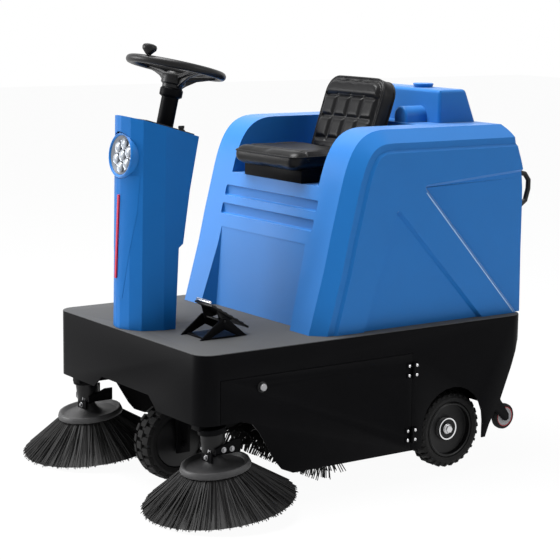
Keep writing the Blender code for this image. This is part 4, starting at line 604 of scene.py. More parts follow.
def makeStudio():
    world = bpy.data.worlds.new("studio")
    bpy.context.scene.world = world
    world.use_nodes = True
    tree = world.node_tree
    tree.nodes["Background"].inputs["Color"].default_value = (0.96, 0.98, 1.0, 1)
    tree.nodes["Background"].inputs["Strength"].default_value = 0.27
    white = addNode(tree, "Background", Color=(1, 1, 1, 1), Strength=1.0)
    mixed = addNode(tree, "MixShader", ((0, seenDirectly(tree)), (1, tree.nodes["Background"].outputs[0]),
                                        (2, white.outputs[0])))
    tree.links.new(mixed.outputs[0], tree.nodes["World Output"].inputs["Surface"])
    pickNothing()
    bpy.ops.mesh.primitive_plane_add(size=40, location=(0, 0, floorHeight))
    floor = bpy.context.object
    floor.name = "studioFloor"
    pale = bpy.data.materials.new("paleFloor")
    pale.use_nodes = True
    tree = pale.node_tree
    shader = tree.nodes["Principled BSDF"]
    shader.inputs["Base Color"].default_value = (0.90, 0.90, 0.90, 1)
    shader.inputs["Roughness"].default_value = 0.8
    glow = addNode(tree, "Emission", Color=(1, 1, 1, 1), Strength=1.0)
    share = addNode(tree, "Math", ((0, seenDirectly(tree)),), operation="MULTIPLY")
    share.inputs[1].default_value = 0.955
    mixed = addNode(tree, "MixShader", ((0, share.outputs[0]), (1, shader.outputs[0]), (2, glow.outputs[0])))
    tree.links.new(mixed.outputs[0], tree.nodes["Material Output"].inputs["Surface"])
    floor.data.materials.append(pale)


floorHeight = min(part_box(node)[0].z for node in ("left_rear_tyre", "front_tyre", "left_brush_bristles"))
bpy.context.scene.view_settings.view_transform = "Standard"
makeCamera()
makeLights()
makeStudio()
print("camera, lights and floor ready")


# Hood: chamfered body, raised side panels, seat well, front grooves and foot recess
hoodShape = {
    "frontLine": ((0.463, 0.5188), (0.520, 0.725), (0.546, 0.840), (0.584, 0.990)),
    "frontCurve": ((0.584, 0.990), (0.629, 1.1675), (0.757, 1.1675)),
    "rearCurve": ((1.262, 1.1675), (1.285, 1.140), (1.298, 1.090), (1.320, 1.030), (1.335, 0.950), (1.338, 0.735),
                  (1.343, 0.5188)),
    "bodyHalf": 0.4135, "chamfer": 0.042, "panelInset": 0.064, "panelProud": 0.009, "panelSlope": 0.009,
    "beyond": 0.100, "foot": 0.5188, "soft": 0.0030,
    "recesses": (("rearRecess", ((0.880, 0.984), (1.500, 1.028), (1.500, 0.315)), 0.030),
                 ("veeRecess", ((0.779, 0.915), (1.300, 0.372), (0.600, 0.372)), 0.020)),
    "recessDepth": 0.0125, "recessSlope": 0.0100, "panelSunk": 0.020, "behind": 1.480, "limit": 0.5,
    "well": {"half": 0.252, "floor": 0.980, "front": 0.3, "rear": 0.990, "top": 1.30, "round": 0.017},
    "grooves": ((0.937, 0.899), (0.875, 0.836)), "grooveHalf": 0.268, "grooveDepth": 0.009,
    "grooveReach": 0.060, "grooveSoft": 0.008, "hollowSoft": 0.02,
    "hollows": (((-0.385, 0.600, 0.45), (0.385, 1.300, 0.958)), ((-0.380, 1.010, 0.90), (0.380, 1.255, 1.150))),
    # The pale line on the recess edge: partly a printed stripe, partly a painted highlight
    "pinstripeHighlight": {"ends": ((0.897, 0.959), (1.302, 0.5225)), "width": 0.0034, "thick": 0.0005, "sunk": 0.001},
    "footRecess": {"foot": 0.504, "top": 0.795, "half": 0.238, "flare": 0.313, "from": 0.380, "below": 0.45,
                   "upper": 1.03},
}


def hoodStation(height):
    line = hoodShape["frontLine"]
    for (a, low), (b, high) in zip(line, line[1:]):
        if height <= high:
            return a + (b - a) * (height - low) / (high - low)
    return line[-1][0]


def behindFront(outline):
    return [(front + station, height) for station, height in outline]


def hoodPanel(name, sign, outline, low, high):
    # A slab on one side whose outer rim slopes in
    spec = hoodShape
    panel = plate(name, outline, "x", *sorted((sign * low, sign * (high - spec["panelProud"]))))
    selectFaces(panel, lambda face: face.normal.x * sign > 0.9)
    bpy.ops.mesh.inset(thickness=spec["panelSlope"], depth=0)
    bpy.ops.transform.translate(value=(sign * spec["panelProud"], 0, 0))
    done()
    return faceOut(panel)


def wellEdge(a, b):
    # The upper edges along both sides of the seat well, apart from its upright corners
    well = hoodShape["well"]
    onSide = all(abs(abs(end.x) - well["half"]) < 0.0006 for end in (a, b))
    above = min(a.z, b.z) > well["floor"] + 0.008 and (a.z + b.z) / 2 > well["floor"] + 0.01
    upright = abs(a.y - b.y) < 0.0001 and abs(a.z - b.z) > 0.05
    ahead = max(a.y, b.y) < front + well["rear"] + 0.0005
    return onSide and above and ahead and not upright and abs((a - b).z) < 0.06


def makeHood():
    spec, well = hoodShape, hoodShape["well"]
    (footIn, footHigh), (nextIn, nextHigh) = spec["frontLine"][:2]
    topFront = list(spec["frontLine"][:-1]) + bentLine(*spec["frontCurve"], 14)
    rear = smoothLine(spec["rearCurve"], 3)
    trueOutline = behindFront(topFront + rear)
    slope = (nextIn - footIn) / (nextHigh - footHigh)
    below = (footIn - slope * spec["beyond"], spec["foot"] - spec["beyond"])
    behind = spec["behind"]
    wide = behindFront([below] + topFront[1:] + [(behind, spec["rearCurve"][0][1]), (behind, below[1])])
    body = plate("hoodBody", wide, "x", -spec["bodyHalf"] + spec["chamfer"], spec["bodyHalf"] - spec["chamfer"])
    selectFaces(body, lambda face: abs(face.normal.x) > 0.9)
    bpy.ops.mesh.inset(thickness=spec["chamfer"], depth=spec["chamfer"])
    done()
    faceOut(body)
    panelOutline = insetOutline(wide, spec["panelInset"])
    face = spec["bodyHalf"] + spec["panelProud"]
    for _, sign in bothSides():
        panel = hoodPanel("hoodSidePanel", sign, panelOutline, spec["bodyHalf"] - spec["panelSunk"], face)
        carve(body, panel, "UNION")
        for name, outline, radius in spec["recesses"]:
            corners = roundedCorners(behindFront(outline), radius, 5, keep=(1, 2))
            carve(body, taperedCutter(name, corners, face, face - spec["recessDepth"], spec["recessSlope"], sign))
    carve(body, plate("hoodLimits", trueOutline, "x", -spec["limit"], spec["limit"]), "INTERSECT")
    carve(body, block("wellCutter", spot(-well["half"], well["front"], well["floor"]),
                      spot(well["half"], well["rear"], well["top"])))
    selectEdges(body, wellEdge)
    bpy.ops.mesh.bevel(offset=well["round"], segments=4, affect="EDGES", clamp_overlap=True)
    done()
    for high, low in spec["grooves"]:
        station = (hoodStation(high) + hoodStation(low)) / 2
        carve(body, block("grooveCutter", spot(-spec["grooveHalf"], station - spec["grooveReach"], low),
                          spot(spec["grooveHalf"], station + spec["grooveDepth"], high), spec["grooveSoft"], 3))
    recess = spec["footRecess"]
    wedge = [(front + recess["from"], recess["below"]), (front + recess["foot"], recess["below"]),
             (front + hoodStation(recess["top"]) + 0.0005, recess["top"])]
    foot = plate("footRecess", wedge, "x", -recess["half"], recess["half"])
    for vertex in foot.data.vertices:
        if vertex.co.y < front + recess["from"] + 0.01:
            vertex.co.x *= recess["flare"] / recess["half"]
        elif vertex.co.z > recess["top"] - 0.1:
            vertex.co.x *= recess["upper"]
    carve(body, foot)
    for low, high in spec["hollows"]:
        carve(body, block("hoodHollow", spot(*low), spot(*high), spec["hollowSoft"], 2))
    faceOut(body, 0.00005)
    edit(body, "VERT")
    bpy.ops.mesh.select_all(action="SELECT")
    bpy.ops.mesh.dissolve_limited(angle_limit=math.radians(0.5))
    done()
    roundOff(body, spec["soft"], 2, 22)
    body.name = "hood_moulding"
    finished(body, "seat_hood", "hoodBlue", ("hood",), 35)


def makePinstripeHighlights():
    # A plain pale line along the slanting edge of the rear recess: partly a printed stripe, partly a painted highlight
    # on the crease edge
    spec, line = hoodShape, hoodShape["pinstripeHighlight"]
    (startY, startZ), (endY, endZ) = behindFront(line["ends"])
    along = Vector((endY - startY, endZ - startZ)).normalized()
    across = Vector((-along.y, along.x)) * line["width"] / 2
    corners = [(startY + across.x, startZ + across.y), (startY - across.x, startZ - across.y),
               (endY - across.x, endZ - across.y), (endY + across.x, endZ + across.y)]
    face = spec["bodyHalf"] + spec["panelProud"]
    for side, sign in bothSides():
        inner, outer = sign * (face - line["sunk"]), sign * (face + line["thick"])
        stripe = plate(side + "_hood_pinstripe_highlight", corners, "x", *sorted((inner, outer)))
        roundOff(stripe, 0.0002, 1, 30)
        finished(stripe, "seat_hood", "paleLineHighlight")


makeHood()
makePinstripeHighlights()
print("hood finished")


# Rear housing: a hollow box with a sloping back, and a half-round hump over the filler pipe
housingShape = {"half": 0.250, "front": 1.090, "rearFoot": 1.256, "rearTop": 1.208, "foot": 1.1678, "top": 1.280,
                "soft": 0.012, "wall": 0.004,
                "hump": {"x": 0.150, "front": 1.000, "rear": 1.094, "radius": 0.034, "foot": 1.1670, "top": 1.222,
                         "steps": 14, "soft": 0.008}}


def makeHousing():
    spec = housingShape
    outline = behindFront([(spec["front"], spec["foot"]), (spec["front"], spec["top"]),
                           (spec["rearTop"], spec["top"]), (spec["rearFoot"], spec["foot"])])
    shell = plate("rear_housing_moulding", outline, "x", -spec["half"], spec["half"])
    selectEdges(shell, lambda a, b: max(a.z, b.z) > spec["foot"] + 0.01)
    bpy.ops.mesh.bevel(offset=spec["soft"], segments=4, affect="EDGES")
    done()
    wall, under = spec["wall"], spec["foot"] - 0.01
    hollow = behindFront([(spec["front"] + wall, under), (spec["front"] + wall, spec["top"] - wall),
                          (spec["rearTop"] - wall, spec["top"] - wall), (spec["rearFoot"] - wall, under)])
    carve(shell, plate("housingHollow", hollow, "x", -spec["half"] + wall, spec["half"] - wall))
    hump = spec["hump"]
    middle, radius = hump["x"], hump["radius"]
    arch = [(middle - radius, hump["foot"]), (middle + radius, hump["foot"])]
    arch += [(middle + radius * math.cos(t), hump["top"] - radius + radius * math.sin(t))
             for t in [math.pi * i / hump["steps"] for i in range(hump["steps"] + 1)]]
    dome = plate("housingHump", arch, "y", front + hump["front"], front + hump["rear"])
    selectEdges(dome, lambda a, b: max(a.y, b.y) < front + hump["front"] + 0.001
                and max(a.z, b.z) > hump["foot"] + 0.002)
    bpy.ops.mesh.bevel(offset=hump["soft"], segments=3, affect="EDGES")
    done()
    shell = joined([shell, faceOut(dome)], "rear_housing_moulding")
    finished(shell, "seat_hood", "hoodBlue", ("rear_housing",), 35)


makeHousing()


# Steering column cover: faceted shell with a raised centre strip
columnShape = {"soft": 0.0028, "stripProud": 0.0009, "stripSoft": 0.0006, "stripDeep": (-0.04, 0.070),
               "strip": ((0.022, 1.020), (0.014, 0.900), (-0.036, 0.619), (-0.080, 0.619), (-0.130, 0.900),
                         (-0.138, 1.020))}


def makeColumn():
    spec = columnShape
    shell = softCopy("column_cover", 0)
    strip = copied(shell, Matrix.Translation((0, -spec["stripProud"], 0)))
    near, far = (front + station for station in spec["stripDeep"])
    carve(strip, plate("stripMask", spec["strip"], "y", near, far), "INTERSECT")
    roundOff(strip, spec["stripSoft"], 1, 30)
    roundOff(shell, spec["soft"], 3, 12)
    # The column cover's blue is darker than the hood's: painted shade on its sides
    finished(shell, "chassis", "columnShadedBlue", ("column_cover",), 35)
    strip.name = "column_strip_panel"
    finished(strip, "chassis", "columnShadedBlue", (), 35)


makeColumn()
print("housing and column finished")


# Seat: padded cushion and back with sewn seams, channels and piping
seatShape = {
    "cushion": {"half": 0.190, "front": 0.526, "rear": 0.818, "bottom": 1.030, "top": 1.078, "corner": 0.045,
                "edge": 0.017, "cap": 0.009, "seam": 0.062, "seamDepth": 0.006, "seamWidth": 0.007, "sideSeam": 0.72,
                "hollow": 0.006, "hollowHalf": (0.11, 0.09), "hollowAt": 0.70, "piping": 0.42},
    "back": {"half": 0.168, "foot": (0.828, 1.036), "length": 0.306, "thickness": 0.070, "lean": 19,
             "corner": 0.070, "edge": 0.016, "cap": 0.008, "border": 0.024, "face": 0.004, "waist": (0.94, 0.09),
             "fadeFrom": 0.45, "fadeOver": 0.2, "piping": (0.006, 0.010)},
    "channels": {"across": (-0.072, 0.0, 0.072), "half": 0.136, "low": 0.070, "high": 0.228, "cross": 0.150,
                 "rollTop": 0.282, "roll": 0.004, "depth": 0.0085, "width": 0.009, "borderWidth": 0.006,
                 "borderPull": 0.9},
    "voxel": 0.0055, "piping": 0.0034, "sewnIn": 0.35, "softness": 0.8,
    "filling": {"pressure": 4, "frames": 20},
}


def puffed(obj, cap):
    # Blown up a little as foam fills its cover, with no point moving past the cap
    remesh = obj.modifiers.new("evenMesh", "REMESH")
    remesh.mode = "VOXEL"
    remesh.voxel_size = seatShape["voxel"]
    useModifiers(obj)
    filling = seatShape["filling"]
    before = [v.co.copy() for v in obj.data.vertices]
    cloth = obj.modifiers.new("filling", "CLOTH")
    cloth.settings.use_pressure = True
    cloth.settings.uniform_pressure_force = filling["pressure"]
    cloth.settings.effector_weights.gravity = 0
    cloth.point_cache.frame_start = 1
    cloth.point_cache.frame_end = filling["frames"]
    scene = bpy.context.scene
    for step in range(1, filling["frames"] + 1):
        scene.frame_set(step)
    useModifiers(obj)
    scene.frame_set(1)
    for vertex, start in zip(obj.data.vertices, before):
        moved = vertex.co - start
        if moved.length > cap:
            vertex.co = start + moved.normalized() * cap
    smoother = obj.modifiers.new("evenOut", "SMOOTH")
    smoother.factor = 0.5
    smoother.iterations = 6
    subdivide = obj.modifiers.new("finer", "SUBSURF")
    subdivide.levels = subdivide.render_levels = 1
    return useModifiers(obj)


def dip(distance, width):
    # How deep a sewn line pulls in at this distance from it, from 1 on the line to 0
    return math.exp(-(distance / width) ** 2)


def makeCushion():
    spec = seatShape["cushion"]
    low = spot(-spec["half"], spec["front"], spec["bottom"])
    high = spot(spec["half"], spec["rear"], spec["top"])
    outline = roundedCorners([(low.x, low.y), (high.x, low.y), (high.x, high.y), (low.x, high.y)], spec["corner"], 8)
    pad = plate("seat_cushion_padded", outline, "z", low.z, high.z)
    selectEdges(pad, lambda a, b: abs(a.z - b.z) < 0.0001)
    bpy.ops.mesh.bevel(offset=spec["edge"], segments=4, affect="EDGES")
    done()
    puffed(pad, spec["cap"])
    seam = front + spec["seam"] + spec["front"]
    middle = (low.z + high.z) / 2
    for vertex in pad.data.vertices:
        place = vertex.co
        if place.z > middle:
            across = dip(place.y - seam, spec["seamWidth"])
            beside = dip(abs(place.x) - spec["half"] * spec["sideSeam"], spec["seamWidth"])
            sides = max(beside * (place.y > seam), across)
            wide, deep = spec["hollowHalf"]
            away = -(place.x / wide) ** 2 - ((place.y - front - spec["hollowAt"]) / deep) ** 2
            hollow = spec["hollow"] * math.exp(away)
            place.z -= spec["seamDepth"] * sides + hollow
    finishPiece(pad, "seat_hood", "seatVinyl", ("seat_cushion",), 80)
    line = roundedCorners([(low.x, low.y), (high.x, low.y), (high.x, high.y), (low.x, high.y)], spec["corner"], 6)
    makePiping("seat_cushion_piping", pad, [Vector((x, y, high.z - spec["edge"] * spec["piping"])) for x, y in line])


def makePiping(name, pad, points):
    # A cord sunk a little way into the pad's skin
    sewn = []
    for point in points:
        _, place, normal, _ = pad.closest_point_on_mesh(point)
        sewn.append(place + normal * seatShape["piping"] * seatShape["sewnIn"])
    cord = bar(name, [tuple(p) for p in sewn + sewn[:2]], seatShape["piping"], 3)
    finishPiece(cord, "seat_hood", "seatVinyl", (), 80)


def makeBack():
    spec, lines = seatShape["back"], seatShape["channels"]
    lean = math.radians(spec["lean"])
    half, foot, (narrow, waist) = spec["half"], spec["face"], spec["waist"]
    outline = [(-half * narrow, foot), (half * narrow, foot), (half, waist), (half, spec["length"]),
               (-half, spec["length"]), (-half, waist)]
    outline = roundedCorners(outline, spec["corner"], 8)
    pad = plate("seat_back_padded", outline, "y", foot, spec["thickness"])
    selectEdges(pad, lambda a, b: abs(a.y - b.y) < 0.0001)
    bpy.ops.mesh.bevel(offset=spec["edge"], segments=4, affect="EDGES")
    done()
    puffed(pad, spec["cap"])
    for vertex in pad.data.vertices:
        across, out, up = vertex.co
        if out < spec["thickness"] * spec["fadeFrom"]:
            edge = sideDistance(Vector((across, up)), outline)
            inside = edge > spec["border"]
            pull = dip(edge - spec["border"], lines["borderWidth"]) * lines["borderPull"] if up > 0.02 else 0
            if abs(across) < lines["half"] + 0.004 and lines["low"] - 0.01 < up < lines["high"] + 0.006:
                pull = max([pull] + [dip(across - x, lines["width"]) for x in lines["across"]])
            if inside and abs(across) < lines["half"]:
                levels = (lines["low"], lines["cross"], lines["high"])
                pull = max([pull] + [dip(up - z, lines["width"]) for z in levels])
            lift = lines["roll"] * (inside and lines["high"] < up < lines["rollTop"])
            taper = (spec["thickness"] * spec["fadeFrom"] - out) / (spec["thickness"] * spec["fadeOver"])
            taper = min(1.0, max(0.0, taper))
            vertex.co.y += (lines["depth"] * pull - lift) * taper
    tilt = Matrix.Translation(spot(0, *spec["foot"])) @ Matrix.Rotation(-lean, 4, "X")
    pad.data.transform(tilt)
    finishPiece(pad, "seat_hood", "seatVinyl", ("seat_back",), 80)
    ahead, behind = spec["piping"]
    for name, out in (("front", ahead), ("rear", spec["thickness"] - behind)):
        makePiping("seat_back_piping_" + name, pad, [tilt @ Vector((x, out, z)) for x, z in outline])


makeCushion()
makeBack()
print("seat finished")


# Side brushes and the main broom: seeded bristles round a dark core
brushShape = {"x": 0.397, "station": 0.110, "tilt": 7.5, "foot": 0.0336, "rootRadius": 0.102, "rootHeight": 0.114,
              "tipRadius": 0.2485, "rings": 5, "perRing": 250, "thickness": 0.0025, "seed": 7,
              "rootIn": (0.004, 0.030), "rootLift": (0.004, 0.006), "tipIn": 0.026, "ragged": 0.010, "sideways": 0.008,
              "tipLift": 0.0015, "uneven": 0.35,
              "core": ((0.060, 0.088), (0.106, 0.112), (0.104, 0.100), (0.2400, 0.0070), (0.226, 0.0045),
                       (0.090, 0.080), (0.060, 0.080))}


strandShape = {"bends": (0.35, 0.7), "taper": 0.45}


def makeStrand(length, thickness):
    # One bristle along +Z, three-sided and tapering
    pickNothing()
    bpy.ops.mesh.primitive_cone_add(vertices=3, radius1=thickness, radius2=thickness, depth=length,
                                    end_fill_type="TRIFAN", location=(0, 0, length / 2))
    strand = bpy.context.object
    for share in strandShape["bends"]:
        edit(strand, "FACE")
        bpy.ops.mesh.select_all(action="SELECT")
        bpy.ops.mesh.bisect(plane_co=(0, 0, length * share), plane_no=(0, 0, 1))
        done()
    settle(strand)
    for vertex in strand.data.vertices:
        share = vertex.co.z / length
        vertex.co.x *= 1 - strandShape["taper"] * share
        vertex.co.y *= 1 - strandShape["taper"] * share
    return strand


def makeSideBrush(side, sign):
    spec = brushShape
    chance = random.Random(spec["seed"] + sign)
    length = math.hypot(spec["rootHeight"], spec["tipRadius"] - spec["rootRadius"])
    frameTurn = Matrix.Translation(spot(sign * spec["x"], spec["station"], spec["foot"]))
    frameTurn = frameTurn @ Matrix.Rotation(math.radians(spec["tilt"]), 4, "X")
    strand = makeStrand(length, spec["thickness"])
    (rootIn, rootDeep), (lift, liftDrop) = spec["rootIn"], spec["rootLift"]
    uneven, ragged = spec["uneven"], spec["ragged"]
    pieces = []
    for ring in range(spec["rings"]):
        for number in range(spec["perRing"]):
            turn = 2 * math.pi * (number + ring / spec["rings"] + chance.uniform(-uneven, uneven)) / spec["perRing"]
            depth = ring / (spec["rings"] - 1)
            root = spec["rootRadius"] - rootIn - rootDeep * depth
            start = Vector((root, 0, spec["rootHeight"] + lift - liftDrop * depth))
            tip = spec["tipRadius"] - spec["tipIn"] * depth
            end = Vector((tip + chance.uniform(-ragged, 0.0), chance.gauss(0, spec["sideways"]),
                          spec["tipLift"] + chance.uniform(0, ragged)))
            along = end - start
            size = Matrix.Diagonal((1, 1, along.length / length, 1))
            twist = Matrix.Rotation(chance.uniform(0, 6.28), 4, "Z")
            pieces.append(Matrix.Rotation(turn, 4, "Z") @ facing(along, start) @ size @ twist)
    brush = grown(strand, [frameTurn @ piece for piece in pieces], side + "_brush_strands")
    finishPiece(brush, side + "_brush", "bristleBlack", (), 60)
    core = spun(side + "_brush_root", spec["core"], 96)
    core.data.transform(frameTurn)
    finishPiece(core, side + "_brush", "bristleBlack", (side + "_brush_bristles",), 40)


def grown(strand, places, name):
    # Copies of one small shape at every place, as one mesh
    strands = []
    for index in range(0, len(places), 60):
        batch = [copied(strand, place) for place in places[index:index + 60]]
        strands.append(joined(batch, name))
    bpy.data.objects.remove(strand, do_unlink=True)
    return joined(strands, name)


broomShape = {"station": 0.600, "height": 0.140, "core": 0.052, "radius": 0.1385, "half": 0.300, "rows": 15,
              "perRow": 104, "twist": 0.75, "thickness": 0.0030, "seed": 11, "stray": (0.02, 0.05), "sunk": 0.004,
              "root": ((0.0515, 0.062, 0.066), 0.004)}


def makeBroom():
    spec = broomShape
    chance = random.Random(spec["seed"])
    strand = makeStrand(spec["radius"] - spec["core"] + spec["sunk"], spec["thickness"])
    centre = spot(0, spec["station"], spec["height"])
    stray, lean = spec["stray"]
    places = []
    for row in range(spec["rows"]):
        for number in range(spec["perRow"]):
            x = -spec["half"] + 2 * spec["half"] * number / (spec["perRow"] - 1)
            side = 1 if x > 0 else -1
            turn = 2 * math.pi * row / spec["rows"] + side * spec["twist"] * x / spec["half"] + chance.gauss(0, stray)
            out = Matrix.Rotation(turn, 4, "X") @ Matrix.Rotation(chance.gauss(0, lean), 4, "Y")
            rise = Matrix.Translation((0, 0, spec["core"] - spec["sunk"]))
            places.append(Matrix.Translation(centre + Vector((x, 0, 0))) @ out @ rise)
    broom = grown(strand, places, "main_broom_strands")
    finishPiece(broom, "broom", "bristleBlack", (), 60)
    (inner, edge, outer), slant = spec["root"]
    wall = [(inner, spec["half"]), (edge, spec["half"]), (outer, spec["half"] - slant)]
    profile = [(r, -x) for r, x in wall] + [(r, x) for r, x in reversed(wall)]
    ends = spun("main_broom_root", profile, 64, centre, (1, 0, 0))
    finishPiece(ends, "broom", "bristleBlack", ("main_broom_bristles",), 40)


for side, sign in bothSides():
    makeSideBrush(side, sign)
makeBroom()
print("brushes finished")


# Steering wheel and its spinner knob, both on the leaning tube
wheelShape = {
    "centre": (-0.058, 0.229, 1.3545), "lean": 13, "rim": 0.1515, "tube": 0.0135, "tubeSteps": 18, "rimSteps": 96,
    "hub": ((0.001, -0.020), (0.030, -0.020), (0.038, -0.024), (0.040, -0.030), (0.040, -0.052), (0.034, -0.057),
            (0.033, -0.068), (0.030, -0.072), (0.0135, -0.072), (0.0135, -0.060), (0.001, -0.060)),
    "cover": ((0.001, -0.0145), (0.024, -0.0150), (0.027, -0.0195), (0.001, -0.0195)),
    "spokes": (0, 90, 180), "spokeHalf": 0.015, "spokeRoot": 0.03, "spokeLength": 0.12, "flare": (0.85, 0.75),
    "blade": ((0.030, -0.040), (0.030, -0.024), (0.100, -0.010), (0.146, -0.002), (0.150, -0.009), (0.100, -0.021)),
    "bladeSoft": 0.003, "webHalf": 0.0055, "webSoft": 0.0025,
    "web": ((0.028, -0.070), (0.030, -0.028), (0.140, -0.006), (0.141, -0.013), (0.086, -0.030), (0.050, -0.052)),
    "knobTurn": -70, "knobLift": 0.0004,
    "knob": ((0.0075, 0.000), (0.0115, 0.004), (0.016, 0.009), (0.0225, 0.016), (0.024, 0.024), (0.021, 0.031),
             (0.012, 0.0345), (0.0002, 0.0355), (0.0002, 0.0)),
}


def makeWheel():
    spec = wheelShape
    tube, rimRadius = spec["tube"], spec["rim"]
    circle = [(rimRadius + tube * math.cos(t), tube * math.sin(t))
              for t in [2 * math.pi * i / spec["tubeSteps"] for i in range(spec["tubeSteps"])]]
    pieces = [spun("steering_wheel_finished", circle, spec["rimSteps"]), spun("wheelHub", spec["hub"]),
              spun("hubCover", spec["cover"], 40)]
    least, more = spec["flare"]
    for angle in spec["spokes"]:
        blade = plate("spoke", spec["blade"], "y", -spec["spokeHalf"], spec["spokeHalf"])
        for vertex in blade.data.vertices:
            share = (vertex.co.x - spec["spokeRoot"]) / spec["spokeLength"]
            vertex.co.y *= least + more * share * share
        roundOff(blade, spec["bladeSoft"], 3, 30)
        web = plate("spokeWeb", spec["web"], "y", -spec["webHalf"], spec["webHalf"])
        roundOff(web, spec["webSoft"], 2, 30)
        for piece in (blade, web):
            piece.data.transform(Matrix.Rotation(math.radians(angle), 4, "Z"))
            pieces.append(piece)
    wheel = joined(pieces, "steering_wheel_finished")
    leaning = Matrix.Translation(spot(*spec["centre"])) @ Matrix.Rotation(math.radians(-spec["lean"]), 4, "X")
    wheel.data.transform(leaning)
    finished(wheel, "steering", "gripBlack", ("steering_wheel",), 40)
    knob = spun("steering_knob_finished", spec["knob"], 40)
    turn = math.radians(spec["knobTurn"])
    seat = (rimRadius * math.cos(turn), rimRadius * math.sin(turn), tube + spec["knobLift"])
    knob.data.transform(leaning @ Matrix.Translation(seat))
    finished(knob, "knob", "gripBlack", ("steering_knob",), 40)


# Hexagon bolts with a washer, and domed screws with a cross slot, in shares of their radius
boltShape = {"foot": 0.25, "top": 1.05, "inset": 0.14, "crown": 0.10, "washerHigh": 0.28,
             "washerEdge": 0.22, "washerTop": 0.94}
screwShape = {"profile": ((0, 0), (1, 0), (1, 0.12), (0.86, 0.42), (0.5, 0.58), (0, 0.62)),
              "slotHalf": (0.62, 0.09), "slotFloor": 0.34, "slotTop": 0.9, "pole": 0.0001}


def bolt(name, place, axis, size, body, washer=1.5, finish="dullSteel"):
    spec = boltShape
    corners = [(size * math.cos(math.pi / 3 * i), size * math.sin(math.pi / 3 * i)) for i in range(6)]
    head = plate(name, corners, "z", size * spec["foot"], size * spec["top"])
    selectFaces(head, lambda face: face.normal.z > 0.9)
    bpy.ops.mesh.inset(thickness=size * spec["inset"], depth=size * spec["crown"])
    done()
    high, wide = size * spec["washerHigh"], size * washer
    ring = [(0.0002, 0), (wide, 0), (wide, size * spec["washerEdge"]), (wide * spec["washerTop"], high), (0.0002, high)]
    ring = spun(name + "Washer", ring, 28)
    whole = joined([head, ring], name)
    whole.data.transform(facing(axis, place))
    return finished(whole, body, finish)


def panScrew(name, place, axis, size, body):
    spec = screwShape
    dome = spun(name, [(max(r * size, spec["pole"]), h * size) for r, h in spec["profile"]], 24)
    long, thin = (size * share for share in spec["slotHalf"])
    for angle in (0, math.pi / 2):
        slot = block("slot", Vector((-long, -thin, size * spec["slotFloor"])),
                     Vector((long, thin, size * spec["slotTop"])))
        slot.data.transform(Matrix.Rotation(angle, 4, "Z"))
        carve(dome, slot)
    dome.data.transform(facing(axis, place))
    return finished(dome, body, "brightSteel")


# Headlight: a silvery dish with a cluster of round lenses
lampShape = {
    "centre": (-0.058, 1.081), "tilt": 5.8, "behind": 0.012, "ring": 0.0385, "around": 6, "firstTurn": 0.35,
    "dish": ((0.0002, -0.008), (0.050, -0.008), (0.058, -0.003), (0.0625, 0.0), (0.0625, -0.012), (0.0002, -0.012)),
    "cup": ((0.00825, -0.0085), (0.0162, -0.0045), (0.0183, -0.0040), (0.0183, -0.0085)),
    "lens": ((0.0001, -0.0075), (0.0147, -0.0075), (0.0147, -0.0050), (0.0120, -0.0015), (0.00675, 0.0005),
             (0.0001, 0.0012)),
}


def makeHeadlight():
    spec = lampShape
    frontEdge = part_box("headlight_bezel")[0].y
    face = Matrix.Translation((spec["centre"][0], frontEdge + spec["behind"], spec["centre"][1]))
    face = face @ Matrix.Rotation(math.radians(90 - spec["tilt"]), 4, "X")
    cups, lenses = [spun("headlight_reflector", spec["dish"], 64)], []
    turns = [2 * math.pi / spec["around"] * i + spec["firstTurn"] for i in range(spec["around"])]
    for x, y in [(0, 0)] + [(spec["ring"] * math.cos(t), spec["ring"] * math.sin(t)) for t in turns]:
        place = Vector((x, y, 0))
        cups.append(spun("lampCup", spec["cup"], 28, place))
        lenses.append(spun("lampLens", spec["lens"], 28, place))
    for pieces, name, finish, nodes in ((cups, "headlight_reflector", "reflector", ()),
                                        (lenses, "headlight_lenses", "lampGlass", ("headlight_lens",))):
        piece = joined(pieces, name)
        piece.data.transform(face)
        finished(piece, "chassis", finish, nodes)


# Crimson strip below the headlight, standing back as it rises
stripShape = {"top": (-0.0535, 0.955), "foot": (-0.0675, 0.682), "half": 0.0050, "stand": 0.0050, "back": 0.024,
              "rise": 0.0131, "round": 0.8, "soft": 0.0010}


def makeStrip():
    spec = stripShape
    (xTop, zTop), (xFoot, zFoot), half = spec["top"], spec["foot"], spec["half"]
    corners = [(xFoot - half, zFoot), (xFoot + half, zFoot), (xTop + half, zTop), (xTop - half, zTop)]
    strip = plate("light_strip_finished", roundedCorners(corners, half * spec["round"], 4), "y",
                  front + spec["stand"], front + spec["back"])
    for vertex in strip.data.vertices:
        vertex.co.y += (vertex.co.z - zFoot) * spec["rise"]
    roundOff(strip, spec["soft"], 2, 40)
    finished(strip, "chassis", "stripCrimson", ("light_strip",), 40)


# Tyres: a plain carcass with lugs all round it
tyreShape = {
    "rear": {"radius": 0.1325, "bead": 0.094, "lugs": 30, "depth": 0.016, "soft": 0.0012, "shoulder": 0.009,
             "lug": ((0.10, -0.10), (0.62, 0.15), (0.97, 0.15), (0.97, 0.78), (0.62, 0.78), (0.10, 0.50))},
    "front": {"radius": 0.1325, "under": 0.006, "bead": 0.084, "half": 0.045, "lugs": 22, "depth": 0.022,
              "lugHalf": 0.34, "soft": 0.0025, "shoulder": 0.006,
              "rows": ((-0.030, 0.024, 0), (0.0, 0.026, 0.5), (0.030, 0.024, 0))},
}


def tyreBody(name, radius, bead, half, centre):
    wall = bead + (radius - bead) * 0.45
    edge = [(bead, 0.62), (bead + 0.004, 0.90), (wall, 1), (radius - 0.016, 0.95), (radius - 0.007, 0.80)]
    profile = [(r, -half * share) for r, share in edge] + [(radius - 0.004, 0)]
    profile += [(r, half * share) for r, share in reversed(edge)]
    body = spun(name, profile, 80)
    body.data.transform(Matrix.Translation(centre) @ Matrix.Rotation(math.radians(90), 4, "Y"))
    return body


